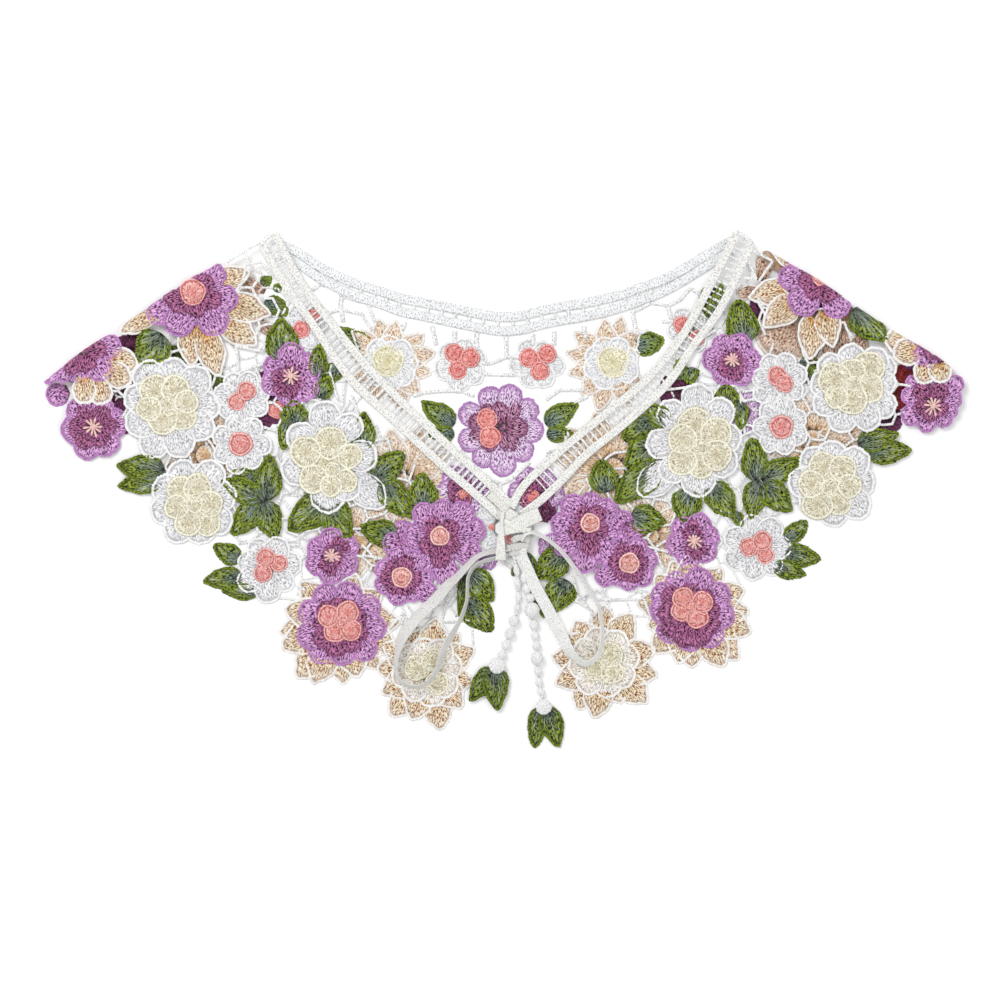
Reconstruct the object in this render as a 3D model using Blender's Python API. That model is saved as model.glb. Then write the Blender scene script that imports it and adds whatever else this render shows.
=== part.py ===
"""A floral lace collar laid flat: the back panel lies face down, and the two fronts are folded
over it along a straight fold at each shoulder. Lengths in the tables are in millimetres.
X runs across the collar, Y from the hem to the neck, and Z up from the surface it lies on."""
import math

import bmesh
import bpy
from mathutils import Vector
from mathutils.geometry import delaunay_2d_cdt

# ---------------------------------------------------------------- driving sizes (mm)
MM = 0.001
WALL = 1.6            # thickness of the embroidered lace
GAP = 0.3             # clearance between separate pieces
FOLD_R = 2.6          # middle radius of the soft bend at each shoulder
LIFT_LENGTH = 62.0    # how far in from the fold the front stands off the back
DROOP_START = 13.0    # how far past the back's hem a front starts to sink to the surface
DROOP_LENGTH = 20.0   # and the length that it takes
TAPE_WIDTH = 15.5     # ladder tape along the front edges
BAND_OUTER = 6.6      # outer neckband
BAND_INNER = 6.4      # inner neckband
BAND_STEP = 9.0       # distance between the middles of the two neckbands
GRID = 13.0           # spacing of the points inside a panel
EDGE_STEP = 5.0       # spacing of the points along an outline
RIBBON_TUBE = 2.0     # round core of a ribbon loop
STRING_TUBE = 3.0     # round core of a bead string

# Shoulder folds: from the outer tip to the neck corner, and how far the middle bows out.
FOLD_COLUMNS = ("tip_x", "tip_y", "neck_x", "neck_y", "bow")
FOLDS = {
    "left": (-299.3, 62.4, -145.9, 162.5, 4.0),
    "right": (299.3, 68.9, 153.7, 162.5, 0.0),
}

# Flowers and leaves that make the outline of each front.
MOTIF_COLUMNS = ("kind", "x", "y", "reach", "width_or_lobes", "turn_deg")
FRONT_MOTIFS = {
    "left": [
        ("flower", -266.0, 78.0, 33.0, 9, 10),
        ("flower", -264.9, 35.8, 20.5, 6, 0),
        ("flower", -214.2, 48.1, 34.0, 8, 20),
        ("flower", -200.5, -14.3, 29.5, 8, 0),
        ("leaf", -233.0, 10.0, 34.0, 18.0, 190),
        ("flower", -151.8, -54.6, 22.5, 6, 15),
        ("leaf", -176.0, -57.0, 36.0, 17.0, 190),
        ("leaf", -166.0, -70.0, 24.0, 13.0, 200),
        ("flower", -104.3, -91.0, 41.0, 11, 8),
        ("flower", -48.4, -124.0, 38.0, 10, 12),
        ("leaf", -14.0, -70.0, 36.0, 21.0, 265),
        ("leaf", -13.5, -86.0, 34.0, 20.0, 260),
        ("flower", -40.0, -38.0, 27.0, 8, 0),
    ],
    "right": [
        ("flower", 272.0, 80.0, 31.0, 9, 10),
        ("flower", 280.0, 50.0, 19.5, 6, 0),
        ("flower", 229.8, 62.4, 34.0, 8, 20),
        ("flower", 216.8, 2.0, 28.5, 8, 0),
        ("leaf", 250.0, 22.0, 34.0, 18.0, -12),
        ("flower", 166.0, -42.3, 22.5, 6, 15),
        ("leaf", 192.0, -46.0, 30.0, 19.0, -10),
        ("leaf", 186.0, -57.0, 24.0, 13.0, -5),
        ("flower", 125.0, -80.0, 40.0, 11, 8),
        ("flower", 66.0, -120.0, 37.0, 10, 12),
        ("leaf", 35.0, -53.0, 28.0, 19.0, 265),
        ("leaf", 38.0, -72.0, 28.0, 19.0, 258),
        ("flower", 57.0, -30.0, 25.0, 8, 0),
    ],
}
# Cloth between the motifs of a front: corner points from the outer tip round the hem.
BODY_COLUMNS = ("x", "y")
FRONT_BODY = {
    "left": [(-292.0, 60.0), (-238.0, 22.0), (-210.0, -34.0), (-160.0, -50.0), (-140.0, -78.0),
             (-60.0, -112.0), (-30.0, -100.0), (-8.0, -70.0), (-6.0, -48.0), (-10.0, -26.0)],
    "right": [(292.0, 68.0), (262.0, 30.0), (214.0, -20.0), (176.0, -40.0), (158.0, -66.0),
              (82.0, -110.0), (42.0, -90.0), (30.0, -62.0), (24.0, -42.0), (22.0, -20.0)],
}
# Hem of the back, from the left tip to the right tip.
BACK_HEM = [(-292.0, 58.0), (-277.0, 45.0), (-254.0, 30.0), (-235.0, 12.0), (-202.0, 2.0),
            (-173.0, -10.0), (-144.0, -20.0), (-111.0, -35.0), (-79.0, -50.0), (-46.0, -59.0),
            (-24.0, -58.0), (-8.0, -51.0), (0.0, -49.5), (8.0, -54.0), (26.0, -62.0),
            (48.0, -57.0), (80.0, -46.0), (112.0, -30.0), (145.0, -14.0), (173.0, -4.0),
            (202.0, 8.0), (236.0, 20.0), (262.0, 38.0), (280.0, 52.0), (292.0, 66.0)]
BACK_MOTIFS = [
    ("flower", -286.0, 60.0, 9.0, 5, 0),
    ("flower", 0.0, -30.0, 22.0, 7, 0),
]
HEM_FLOWER = 16.0     # reach of the flowers along the back's hem
HEM_INSET = 9.0       # and how far in from the hem they sit

# Middle line of each ladder tape, from the neck corner to the knot.
TAPE_ROUTE = {
    "left": [(-151.5, 156.5), (-138.0, 132.5), (-118.0, 103.5), (-94.0, 71.2), (-67.5, 45.0),
             (-39.5, 20.0), (-16.0, -1.5), (-6.0, -12.0)],
    "right": [(156.0, 156.5), (138.5, 123.0), (121.0, 90.5), (100.5, 63.5), (73.5, 39.5),
              (48.5, 19.5), (27.0, 2.5), (20.5, -3.5)],
}
# Middle line of the outer neckband, from left to right; the inner one runs BAND_STEP below.
BAND_ROUTE = [(-147.5, 159.0), (-130.0, 145.8), (-103.0, 132.5), (-66.0, 119.0), (-27.0, 110.2),
              (0.0, 108.2), (27.0, 110.2), (64.0, 117.0), (92.0, 124.8), (118.0, 138.0),
              (136.0, 148.0), (154.0, 159.0)]

# Ribbon loops and bead strings: x, y and height of the middle.
CORD_COLUMNS = ("x", "y", "z")
LOOP_ROUTE = {
    "left": [(-3.6, -49.6, 4.6), (-20.0, -57.5, 5.6), (-46.5, -82.0, 5.4), (-66.0, -103.0, 5.0),
             (-69.5, -119.5, 4.9), (-60.0, -133.5, 4.9), (-46.5, -124.5, 4.9), (-36.0, -103.0, 5.0),
             (-25.5, -81.0, 5.4), (-21.0, -66.0, 5.6), (-7.2, -54.0, 4.6)],
    "right": [(15.0, -40.5, 5.2), (21.5, -66.5, 4.6), (31.5, -89.0, 4.8), (39.5, -104.5, 4.9),
              (46.0, -115.0, 4.9), (55.5, -120.0, 4.9), (65.0, -111.0, 4.9), (65.5, -99.5, 4.9),
              (62.5, -82.5, 5.0), (56.0, -67.5, 5.2), (44.5, -48.5, 5.4), (31.5, -37.8, 5.6),
              (21.6, -34.6, 5.6)],
}
STRING_ROUTE = {
    "left": [(8.6, -43.5, 3.9), (9.2, -54.0, 3.9), (9.8, -66.0, 3.0), (10.0, -76.0, 1.9),
             (8.2, -91.0, 1.9), (4.0, -103.5, 1.9), (1.0, -112.6, 1.9)],
    "right": [(13.2, -47.5, 3.9), (14.6, -60.0, 3.9), (17.0, -74.0, 2.5), (20.0, -84.0, 1.9),
              (21.5, -96.0, 1.9), (22.4, -110.0, 1.9), (24.0, -125.0, 1.9), (25.6, -138.6, 1.9),
              (26.6, -141.6, 1.9)],
}
# Round caps and leaves on the strings.
CAP_COLUMNS = ("x", "y", "radius", "height")
CAPS = {"left": (-0.6, -118.0, 4.7, 6.0), "right": (27.2, -146.9, 4.7, 6.0)}
TASSEL_LEAVES = {
    "left": [("leaf", -9.0, -132.5, 22.0, 14.5, 245), ("leaf", -1.0, -136.0, 24.0, 14.5, 285)],
    "right": [("leaf", 22.5, -161.5, 24.0, 13.5, 252), ("leaf", 31.8, -161.5, 24.0, 13.5, 290)],
}
# Knot: middle, half sizes, and the strap beside it.
KNOT = (12.5, -25.0, 9.3, 9.0)
KNOT_LOW, KNOT_HIGH = 1.95, 8.2
STRAP = (-1.2, -22.0, -51.0, 5.6)     # x, top y, bottom y, width
STRAP_Z = (1.95, 3.35)


# ---------------------------------------------------------------- plane helpers (mm)
def smooth_route(points, step):
    """Points about `step` apart on a Catmull-Rom curve through the given ones."""
    dims = len(points[0])
    pad = [tuple(2 * a - b for a, b in zip(points[0], points[1]))] + list(points) + [
        tuple(2 * a - b for a, b in zip(points[-1], points[-2]))]
    out = []
    for i in range(1, len(pad) - 2):
        a, b, c, d = pad[i - 1:i + 3]
        count = max(1, round(math.dist(b, c) / step))
        for k in range(count):
            t = k / count
            out.append(tuple(0.5 * (2 * b[j] + (c[j] - a[j]) * t
                                    + (2 * a[j] - 5 * b[j] + 4 * c[j] - d[j]) * t * t
                                    + (3 * b[j] - a[j] - 3 * c[j] + d[j]) * t ** 3)
                             for j in range(dims)))
    out.append(tuple(points[-1]))
    return out


def offset_line(line, distance):
    """The line moved to its left by `distance`."""
    out = []
    for i, (x, y) in enumerate(line):
        ax, ay = line[max(i - 1, 0)]
        bx, by = line[min(i + 1, len(line) - 1)]
        run = math.hypot(bx - ax, by - ay)
        out.append((x - (by - ay) / run * distance, y + (bx - ax) / run * distance))
    return out


def flower_outline(x, y, reach, lobes, turn):
    """A ring of round lobes."""
    count = max(18, int(2 * math.pi * reach / EDGE_STEP))
    out = []
    for k in range(count):
        a = 2 * math.pi * k / count
        lobe = abs(math.cos(0.5 * lobes * (a - math.radians(turn))))
        r = reach * (0.86 + 0.14 * lobe)
        out.append((x + r * math.cos(a), y + r * math.sin(a)))
    return out


def leaf_outline(x, y, length, width, turn):
    """A pointed oval about its own middle."""
    c, s = math.cos(math.radians(turn)), math.sin(math.radians(turn))
    out = []
    for k in range(12):
        a = 2 * math.pi * k / 12
        u = 0.5 * length * math.cos(a)
        v = 0.5 * width * math.sin(a) * (1 - 0.25 * math.cos(a))
        out.append((x + u * c - v * s, y + u * s + v * c))
    return out


def motif_outline(row):
    kind, x, y, reach, other, turn = row
    return (flower_outline if kind == "flower" else leaf_outline)(x, y, reach, other, turn)


def inside(point, polygon):
    x, y = point
    hit = False
    for (ax, ay), (bx, by) in zip(polygon, polygon[1:] + polygon[:1]):
        if (ay > y) != (by > y) and x < (bx - ax) * (y - ay) / (by - ay) + ax:
            hit = not hit
    return hit


def polygon_distance(point, polygon):
    best = 1e9
    x, y = point
    for (ax, ay), (bx, by) in zip(polygon, polygon[1:] + polygon[:1]):
        ex, ey = bx - ax, by - ay
        t = max(0.0, min(1.0, ((x - ax) * ex + (y - ay) * ey) / (ex * ex + ey * ey + 1e-12)))
        best = min(best, math.hypot(x - ax - t * ex, y - ay - t * ey))
    return best


def ring_area(ring):
    return 0.5 * sum(a[0] * b[1] - b[0] * a[1] for a, b in zip(ring, ring[1:] + ring[:1]))


def union_outline(shapes, cut_shapes):
    """Outer edge of the joined shapes less the cut ones, as one ring of points."""
    verts, faces = [], []
    for shape in shapes + cut_shapes:
        shape = shape if ring_area(shape) > 0 else shape[::-1]
        faces.append(list(range(len(verts), len(verts) + len(shape))))
        verts.extend(Vector(p) for p in shape)
    points, _, tris, _, _, owners = delaunay_2d_cdt(verts, [], faces, 1, 1e-5, True)
    kept = []
    for tri, owner in zip(tris, owners):
        if owner and not any(o >= len(shapes) for o in owner):
            kept.append(tri)
    edges = {}
    for tri in kept:
        for i in range(len(tri)):
            a, b = tri[i], tri[(i + 1) % len(tri)]
            edges[(a, b)] = True
    border = {}
    for a, b in edges:
        if (b, a) not in edges:
            border.setdefault(a, []).append(b)
    rings = []
    while border:
        start = next(iter(border))
        ring, at = [], start
        while at in border:
            ring.append(at)
            nxt = border[at].pop()
            if not border[at]:
                del border[at]
            at = nxt
            if at == start:
                break
        rings.append([tuple(points[i]) for i in ring])
    return max(rings, key=ring_area)


def even_ring(ring, step):
    """The ring with its short steps thinned and its long ones divided."""
    out = [ring[0]]
    for p in ring[1:]:
        if math.dist(p, out[-1]) >= 0.45 * step:
            out.append(p)
    if math.dist(out[-1], out[0]) < 0.3 * step:
        out.pop()
    full = []
    for a, b in zip(out, out[1:] + out[:1]):
        count = max(1, round(math.dist(a, b) / (1.6 * step)))
        for k in range(count):
            full.append((a[0] + (b[0] - a[0]) * k / count, a[1] + (b[1] - a[1]) * k / count))
    return full


# ---------------------------------------------------------------- the shoulder folds
class Fold:
    """One shoulder fold: s runs along it from the tip, d inwards from the crease."""

    def __init__(self, side):
        tip_x, tip_y, neck_x, neck_y, self.bow = FOLDS[side]
        self.length = math.hypot(neck_x - tip_x, neck_y - tip_y)
        self.ex, self.ey = (neck_x - tip_x) / self.length, (neck_y - tip_y) / self.length
        self.x, self.y = tip_x, tip_y
        turn = 1 if side == "left" else -1
        self.nx, self.ny = self.ey * turn, -self.ex * turn

    def bulge(self, s):
        t = max(0.0, min(1.0, s / self.length))
        return self.bow * 4 * t * (1 - t)

    def flat(self, x, y):
        s = (x - self.x) * self.ex + (y - self.y) * self.ey
        return s, (x - self.x) * self.nx + (y - self.y) * self.ny + self.bulge(s)

    def plan(self, s, d):
        d -= self.bulge(s)
        return self.x + s * self.ex + d * self.nx, self.y + s * self.ey + d * self.ny


FOLD = {side: Fold(side) for side in FOLDS}
EXTRA = FOLD_R * (math.pi / 2 - 1)   # cloth that goes round the bend, past the crease


def nearest_fold(x, y):
    return FOLD["left" if x < 0 else "right"]


def back_region():
    ring = list(BACK_HEM)
    ring += [(FOLDS["right"][2], FOLDS["right"][3]), (FOLDS["left"][2], FOLDS["left"][3])]
    return ring


BACK_REGION = back_region()


def place(x, y, h, layer):
    """World position of a point of the laid-out cloth, h outwards from its middle."""
    fold = nearest_fold(x, y)
    s, d = fold.flat(x, y)
    up = 1 if layer == "front" else -1
    centre = WALL / 2 + FOLD_R
    if d < FOLD_R:
        a = max(0.0, (d + EXTRA) / FOLD_R)
        px, py = fold.plan(s, FOLD_R - (FOLD_R + h) * math.cos(a))
        return px * MM, py * MM, (centre + up * (FOLD_R + h) * math.sin(a)) * MM
    if layer == "back":
        return x * MM, y * MM, (WALL / 2 - h) * MM
    high = WALL / 2 + 2 * FOLD_R
    low = WALL / 2 + WALL + GAP
    if not inside((x, y), BACK_REGION):
        t = min(1.0, max(0.0, polygon_distance((x, y), BACK_REGION) - DROOP_START) / DROOP_LENGTH)
        low -= (WALL + GAP) * t * t * (3 - 2 * t)
    t = min(1.0, (d - FOLD_R) / LIFT_LENGTH)
    level = low + (high - low) * (1 - t * t * (3 - 2 * t))
    return x * MM, y * MM, (level + h) * MM


# ---------------------------------------------------------------- making solids
def material(name, colour, roughness):
    mat = bpy.data.materials.new(name)
    mat.use_nodes = True
    shader = mat.node_tree.nodes["Principled BSDF"]
    shader.inputs["Base Color"].default_value = (*colour, 1)
    shader.inputs["Roughness"].default_value = roughness
    shader.inputs["Metallic"].default_value = 0.0
    return mat


def add_object(name, bm, colour, roughness=0.85, smooth=False):
    if bm.calc_volume(signed=True) < 0:
        bmesh.ops.reverse_faces(bm, faces=bm.faces)
    mesh = bpy.data.meshes.new(name)
    bm.to_mesh(mesh)
    bm.free()
    if smooth:
        mesh.shade_smooth()
        mesh.set_sharp_from_angle(angle=math.radians(40))
    mesh.materials.append(material(name + "_cloth", colour, roughness))
    obj = bpy.data.objects.new(name, mesh)
    bpy.context.scene.collection.objects.link(obj)
    return obj


def wall(name, ring, layer, colour, height=None, grid=GRID):
    """A wall of cloth over a ring of plan points: two faces and the edge between them."""
    free = []
    xs, ys = [p[0] for p in ring], [p[1] for p in ring]
    for fold in FOLD.values():
        if layer is None:
            break
        for d in (0.15 * FOLD_R, 0.55 * FOLD_R, FOLD_R, 3.2 * FOLD_R):
            for k in range(int(fold.length / (0.85 * grid))):
                free.append(fold.plan((k + 0.5) * 0.85 * grid, d))
    row, y = 0, min(ys)
    while y < max(ys):
        x = min(xs) + (0.5 * grid if row % 2 else 0)
        while x < max(xs):
            if layer is None or nearest_fold(x, y).flat(x, y)[1] > 5 * FOLD_R:
                free.append((x, y))
            x += grid
        y += grid * 0.87
        row += 1
    free = [p for p in free if inside(p, ring) and polygon_distance(p, ring) > 0.9]
    verts = [Vector(p) for p in ring] + [Vector(p) for p in free]
    points, _, tris, _, _, owners = delaunay_2d_cdt(verts, [], [list(range(len(ring)))], 1, 1e-5, True)
    tris = [tri for tri, owner in zip(tris, owners) if owner]
    bm = bmesh.new()
    if height is None:
        tops = [bm.verts.new(place(p[0], p[1], WALL / 2, layer)) for p in points]
        bases = [bm.verts.new(place(p[0], p[1], -WALL / 2, layer)) for p in points]
    else:
        tops = [bm.verts.new((p[0] * MM, p[1] * MM, height(p[0], p[1])[1] * MM)) for p in points]
        bases = [bm.verts.new((p[0] * MM, p[1] * MM, height(p[0], p[1])[0] * MM)) for p in points]
    edges = set()
    for tri in tris:
        bm.faces.new([tops[i] for i in tri])
        bm.faces.new([bases[i] for i in reversed(tri)])
        edges.update((tri[i], tri[(i + 1) % len(tri)]) for i in range(len(tri)))
    for a, b in edges:
        if (b, a) not in edges:
            bm.faces.new([tops[b], tops[a], bases[a], bases[b]])
    bmesh.ops.delete(bm, geom=[v for v in bm.verts if not v.link_faces], context="VERTS")
    bmesh.ops.triangulate(bm, faces=bm.faces)
    return add_object(name, bm, colour)


def strip(name, line, width, layer, colour):
    """A flat tape along a plan line, laid in the front or the back layer."""
    left, right = offset_line(line, width / 2), offset_line(line, -width / 2)
    bm = bmesh.new()
    rows = []
    for (lx, ly), (mx, my), (rx, ry) in zip(left, line, right):
        rows.append([bm.verts.new(place(x, y, h, layer)) for x, y, h in (
            (lx, ly, WALL / 2), (mx, my, WALL / 2), (rx, ry, WALL / 2),
            (rx, ry, -WALL / 2), (mx, my, -WALL / 2), (lx, ly, -WALL / 2))])
    for a, b in zip(rows, rows[1:]):
        for i in range(6):
            bm.faces.new([a[i], a[(i + 1) % 6], b[(i + 1) % 6], b[i]])
    bm.faces.new(rows[0][::-1])
    bm.faces.new(rows[-1])
    bmesh.ops.triangulate(bm, faces=bm.faces)
    return add_object(name, bm, colour)


def tube(name, route, diameter, step, colour):
    """A free cord as a bevelled curve with closed ends."""
    points = smooth_route(route, step)
    curve = bpy.data.curves.new(name, "CURVE")
    curve.dimensions = "3D"
    curve.bevel_depth = diameter / 2 * MM
    curve.bevel_resolution = 2
    curve.use_fill_caps = True
    spline = curve.splines.new("POLY")
    spline.points.add(len(points) - 1)
    for target, (x, y, z) in zip(spline.points, points):
        target.co = (x * MM, y * MM, z * MM, 1)
    curve.materials.append(material(name + "_thread", colour, 0.8))
    obj = bpy.data.objects.new(name, curve)
    bpy.context.scene.collection.objects.link(obj)
    return obj


def cushion(name, x, y, half_x, half_y, low, high, colour):
    """A round puffed piece with a flat seat."""
    bm = bmesh.new()
    bmesh.ops.create_uvsphere(bm, u_segments=14, v_segments=8, radius=1.0)
    middle = (low + high) / 2
    for v in bm.verts:
        z = max(-0.9, min(0.96, v.co.z * 1.02))
        v.co = ((x + v.co.x * half_x) * MM, (y + v.co.y * half_y) * MM,
                (middle + z / 0.96 * (high - low) / 2) * MM)
    lowest = min(v.co.z for v in bm.verts)
    for v in bm.verts:
        v.co.z += low * MM - lowest
    bmesh.ops.triangulate(bm, faces=bm.faces)
    return add_object(name, bm, colour, smooth=True)


# ---------------------------------------------------------------- the pieces
def tape_line(side):
    return smooth_route(TAPE_ROUTE[side], 9.0)


def band_line(offset):
    return smooth_route([(x, y - offset) for x, y in BAND_ROUTE], 10.0)


def longer(line, reach):
    """The line run straight on past both its ends."""
    out = list(line)
    for a, b, at in ((line[0], line[1], 0), (line[-1], line[-2], len(out) + 1)):
        run = math.dist(a, b)
        out.insert(at, (a[0] + (a[0] - b[0]) / run * reach, a[1] + (a[1] - b[1]) / run * reach))
    return out


def past_fold(side):
    """The plane past the end of the cloth at a fold, as a shape to cut away."""
    fold = FOLD[side]
    edge = GAP / 2 - EXTRA
    line = [fold.plan(fold.length * k / 12, edge) for k in range(-2, 15)]
    far = [fold.plan(fold.length * k / 12, -60.0) for k in range(-2, 15)]
    return line + far[::-1]


def tape_cut(side, beyond):
    """The tape's own place with its clearance, and all that lies past it."""
    line = tape_line(side)
    first, second = line[0], line[1]
    start = (first[0] - (second[0] - first[0]), first[1] - (second[1] - first[1]))
    line = [start] + line
    turn = -1 if side == "left" else 1
    edge = offset_line(line, turn * (TAPE_WIDTH / 2 + GAP))
    far = offset_line(line, -turn * beyond)
    return edge + far[::-1]


def make_front(side, colour):
    body = list(FRONT_BODY[side])
    fold = FOLD[side]
    tape = tape_line(side)
    ring = body + [tape[-1]] + tape[::-1] + [fold.plan(fold.length, -EXTRA), fold.plan(0, -EXTRA)]
    if side == "right":
        ring = ring[::-1]
    shapes = [ring] + [motif_outline(row) for row in FRONT_MOTIFS[side]]
    outline = union_outline(shapes, [past_fold(side), tape_cut(side, 30.0)])
    return wall("lace_front_" + side, even_ring(outline, EDGE_STEP), "front", colour)


def make_back(colour):
    lower = band_line(BAND_STEP)
    long_band = longer(lower, 14.0)
    clear = offset_line(long_band, -(BAND_INNER / 2 + GAP))
    above = offset_line(long_band, 30.0)
    ring = list(BACK_HEM)
    ring += [FOLD["right"].plan(FOLD["right"].length * k / 6, -EXTRA) for k in range(7)]
    ring += lower[::-1]
    ring += [FOLD["left"].plan(FOLD["left"].length * k / 6, -EXTRA) for k in range(6, -1, -1)]
    shapes = [ring] + [motif_outline(row) for row in BACK_MOTIFS]
    for (ax, ay), (bx, by) in zip(BACK_HEM[1:-2], BACK_HEM[2:-1]):
        x, y, run = (ax + bx) / 2, (ay + by) / 2, math.dist((ax, ay), (bx, by))
        if abs(x) > 34.0:
            x, y = x - (by - ay) / run * HEM_INSET, y + (bx - ax) / run * HEM_INSET
            shapes.append(flower_outline(x, y, HEM_FLOWER, 7, 25.0))
    cuts = [past_fold("left"), past_fold("right"), clear + above[::-1]]
    outline = union_outline(shapes, cuts)
    return wall("lace_back", even_ring(outline, EDGE_STEP * 1.2), "back", colour)


def leaf_height(side):
    """The left tassel rests its outer leaf on the front's hem; the right one lies flat."""
    def height(x, y):
        base = 0.0
        if side == "left":
            t = max(0.0, min(1.0, (0.0 - x) / 12.0))
            base = (WALL + GAP) * t * t * (3 - 2 * t)
        return base, base + WALL
    return height


def make_tassel(side, colour):
    cap_x, cap_y, radius, _ = CAPS[side]
    shapes = [leaf_outline(*row[1:]) for row in TASSEL_LEAVES[side]]
    reach = radius + 3 * GAP
    clear = [(cap_x + reach * math.cos(math.tau * k / 14),
              cap_y + reach * math.sin(math.tau * k / 14)) for k in range(14)]
    outline = union_outline(shapes, [clear])
    return wall("leaf_tassel_" + side, even_ring(outline, 3.0), None, colour,
                height=leaf_height(side), grid=6.0)


def main():
    for obj in list(bpy.data.objects):
        bpy.data.objects.remove(obj, do_unlink=True)

    white = (0.93, 0.93, 0.92)
    make_back((0.80, 0.72, 0.80))
    make_front("left", (0.55, 0.36, 0.66))
    make_front("right", (0.60, 0.42, 0.66))
    for side in ("left", "right"):
        strip("neck_tape_" + side, tape_line(side), TAPE_WIDTH, "front", white)
    strip("neckband_outer", band_line(0.0), BAND_OUTER, "back", white)
    strip("neckband_inner", band_line(BAND_STEP), BAND_INNER, "back", white)

    x, y, half_x, half_y = KNOT
    cushion("tie_knot", x, y, half_x, half_y, KNOT_LOW, KNOT_HIGH, white)
    sx, top, bottom, width = STRAP
    ring = [(sx - width / 2, bottom), (sx + width / 2, bottom), (sx + width / 2, top), (sx - width / 2, top)]
    wall("tie_strap", even_ring(ring, 4.0), None, white, height=lambda px, py: STRAP_Z, grid=6.0)
    for side in ("left", "right"):
        tube("tie_loop_" + side, LOOP_ROUTE[side], RIBBON_TUBE, 5.0, white)
        tube("bead_string_" + side, STRING_ROUTE[side], STRING_TUBE, 6.5, white)
        cx, cy, radius, high = CAPS[side]
        cushion("bead_cap_" + side, cx, cy, radius, radius, 0.0, high, white)
        make_tassel(side, (0.25, 0.36, 0.10))


main()
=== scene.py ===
import math

import bpy
import numpy as np
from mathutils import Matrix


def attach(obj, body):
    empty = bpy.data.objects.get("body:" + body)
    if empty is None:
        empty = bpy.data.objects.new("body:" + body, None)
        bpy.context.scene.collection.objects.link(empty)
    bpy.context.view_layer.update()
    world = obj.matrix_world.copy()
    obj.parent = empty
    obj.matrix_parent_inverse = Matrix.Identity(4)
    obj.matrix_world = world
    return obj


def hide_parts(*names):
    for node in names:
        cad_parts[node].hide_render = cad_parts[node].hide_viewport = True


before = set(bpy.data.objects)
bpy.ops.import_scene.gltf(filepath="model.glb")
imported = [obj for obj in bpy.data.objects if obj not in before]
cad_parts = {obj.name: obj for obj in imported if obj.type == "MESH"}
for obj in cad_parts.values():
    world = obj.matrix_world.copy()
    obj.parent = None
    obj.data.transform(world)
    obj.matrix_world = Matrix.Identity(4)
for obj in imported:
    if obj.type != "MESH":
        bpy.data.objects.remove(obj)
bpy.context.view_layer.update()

# ---------------------------------------------------------------- sizes (mm)
MM = 0.001
UNIT = 0.65           # one unit of the chart of motifs
MID_U, MID_V = 501.5, 481.0
WALL = 1.6
GAP = 0.3
FOLD_R = 2.6
LIFT_LENGTH = 62.0
DROOP_START = 13.0
DROOP_LENGTH = 20.0
PITCH = 2.15          # distance between the satin threads at a petal's rim
EXTRA = FOLD_R * (math.pi / 2 - 1)

FOLDS = {
    "left": (-299.3, 62.4, -145.9, 162.5, 4.0),
    "right": (299.3, 68.9, 153.7, 162.5, 0.0),
}
BACK_HEM = [(-292.0, 58.0), (-277.0, 45.0), (-254.0, 30.0), (-235.0, 12.0), (-202.0, 2.0),
            (-173.0, -10.0), (-144.0, -20.0), (-111.0, -35.0), (-79.0, -50.0), (-46.0, -59.0),
            (-24.0, -58.0), (-8.0, -51.0), (0.0, -49.5), (8.0, -54.0), (26.0, -62.0),
            (48.0, -57.0), (80.0, -46.0), (112.0, -30.0), (145.0, -14.0), (173.0, -4.0),
            (202.0, 8.0), (236.0, 20.0), (262.0, 38.0), (280.0, 52.0), (292.0, 66.0)]
BACK_REGION = np.array(BACK_HEM + [(153.7, 162.5), (-145.9, 162.5)])

rng = np.random.default_rng(1943)


def at(u, v):
    """Chart place to millimetres."""
    return (u - MID_U) * UNIT, (MID_V - v) * UNIT


# ---------------------------------------------------------------- the laid cloth's shape
def inside(x, y, poly):
    hit = np.zeros(x.shape, bool)
    n = len(poly)
    for i in range(n):
        ax, ay = poly[i]
        bx, by = poly[(i + 1) % n]
        if ay == by:
            continue
        cross = ((ay > y) != (by > y)) & (x < (bx - ax) * (y - ay) / (by - ay) + ax)
        hit ^= cross
    return hit


def poly_distance(x, y, poly):
    best = np.full(x.shape, 1e9)
    n = len(poly)
    for i in range(n):
        ax, ay = poly[i]
        bx, by = poly[(i + 1) % n]
        ex, ey = bx - ax, by - ay
        t = np.clip(((x - ax) * ex + (y - ay) * ey) / (ex * ex + ey * ey + 1e-12), 0, 1)
        best = np.minimum(best, np.hypot(x - ax - t * ex, y - ay - t * ey))
    return best


class Fold:
    def __init__(self, side):
        tx, ty, nx, ny, self.bow = FOLDS[side]
        self.length = math.hypot(nx - tx, ny - ty)
        self.ex, self.ey = (nx - tx) / self.length, (ny - ty) / self.length
        self.x, self.y = tx, ty
        turn = 1 if side == "left" else -1
        self.nx, self.ny = self.ey * turn, -self.ex * turn

    def bulge(self, s):
        t = np.clip(s / self.length, 0, 1)
        return self.bow * 4 * t * (1 - t)

    def flat(self, x, y):
        s = (x - self.x) * self.ex + (y - self.y) * self.ey
        return s, (x - self.x) * self.nx + (y - self.y) * self.ny + self.bulge(s)

    def plan(self, s, d):
        d = d - self.bulge(s)
        return self.x + s * self.ex + d * self.nx, self.y + s * self.ey + d * self.ny


FOLD = {side: Fold(side) for side in FOLDS}


def smoothstep(t):
    t = np.clip(t, 0, 1)
    return t * t * (3 - 2 * t)


def front_level(x, y, d):
    """Height of the middle of a front over the surface."""
    high = WALL / 2 + 2 * FOLD_R
    far = np.where(inside(x, y, BACK_REGION), 0.0, poly_distance(x, y, BACK_REGION))
    low = WALL / 2 + (WALL + GAP) * (1 - smoothstep((far - DROOP_START) / DROOP_LENGTH))
    return low + (high - low) * (1 - smoothstep((d - FOLD_R) / LIFT_LENGTH))


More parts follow.
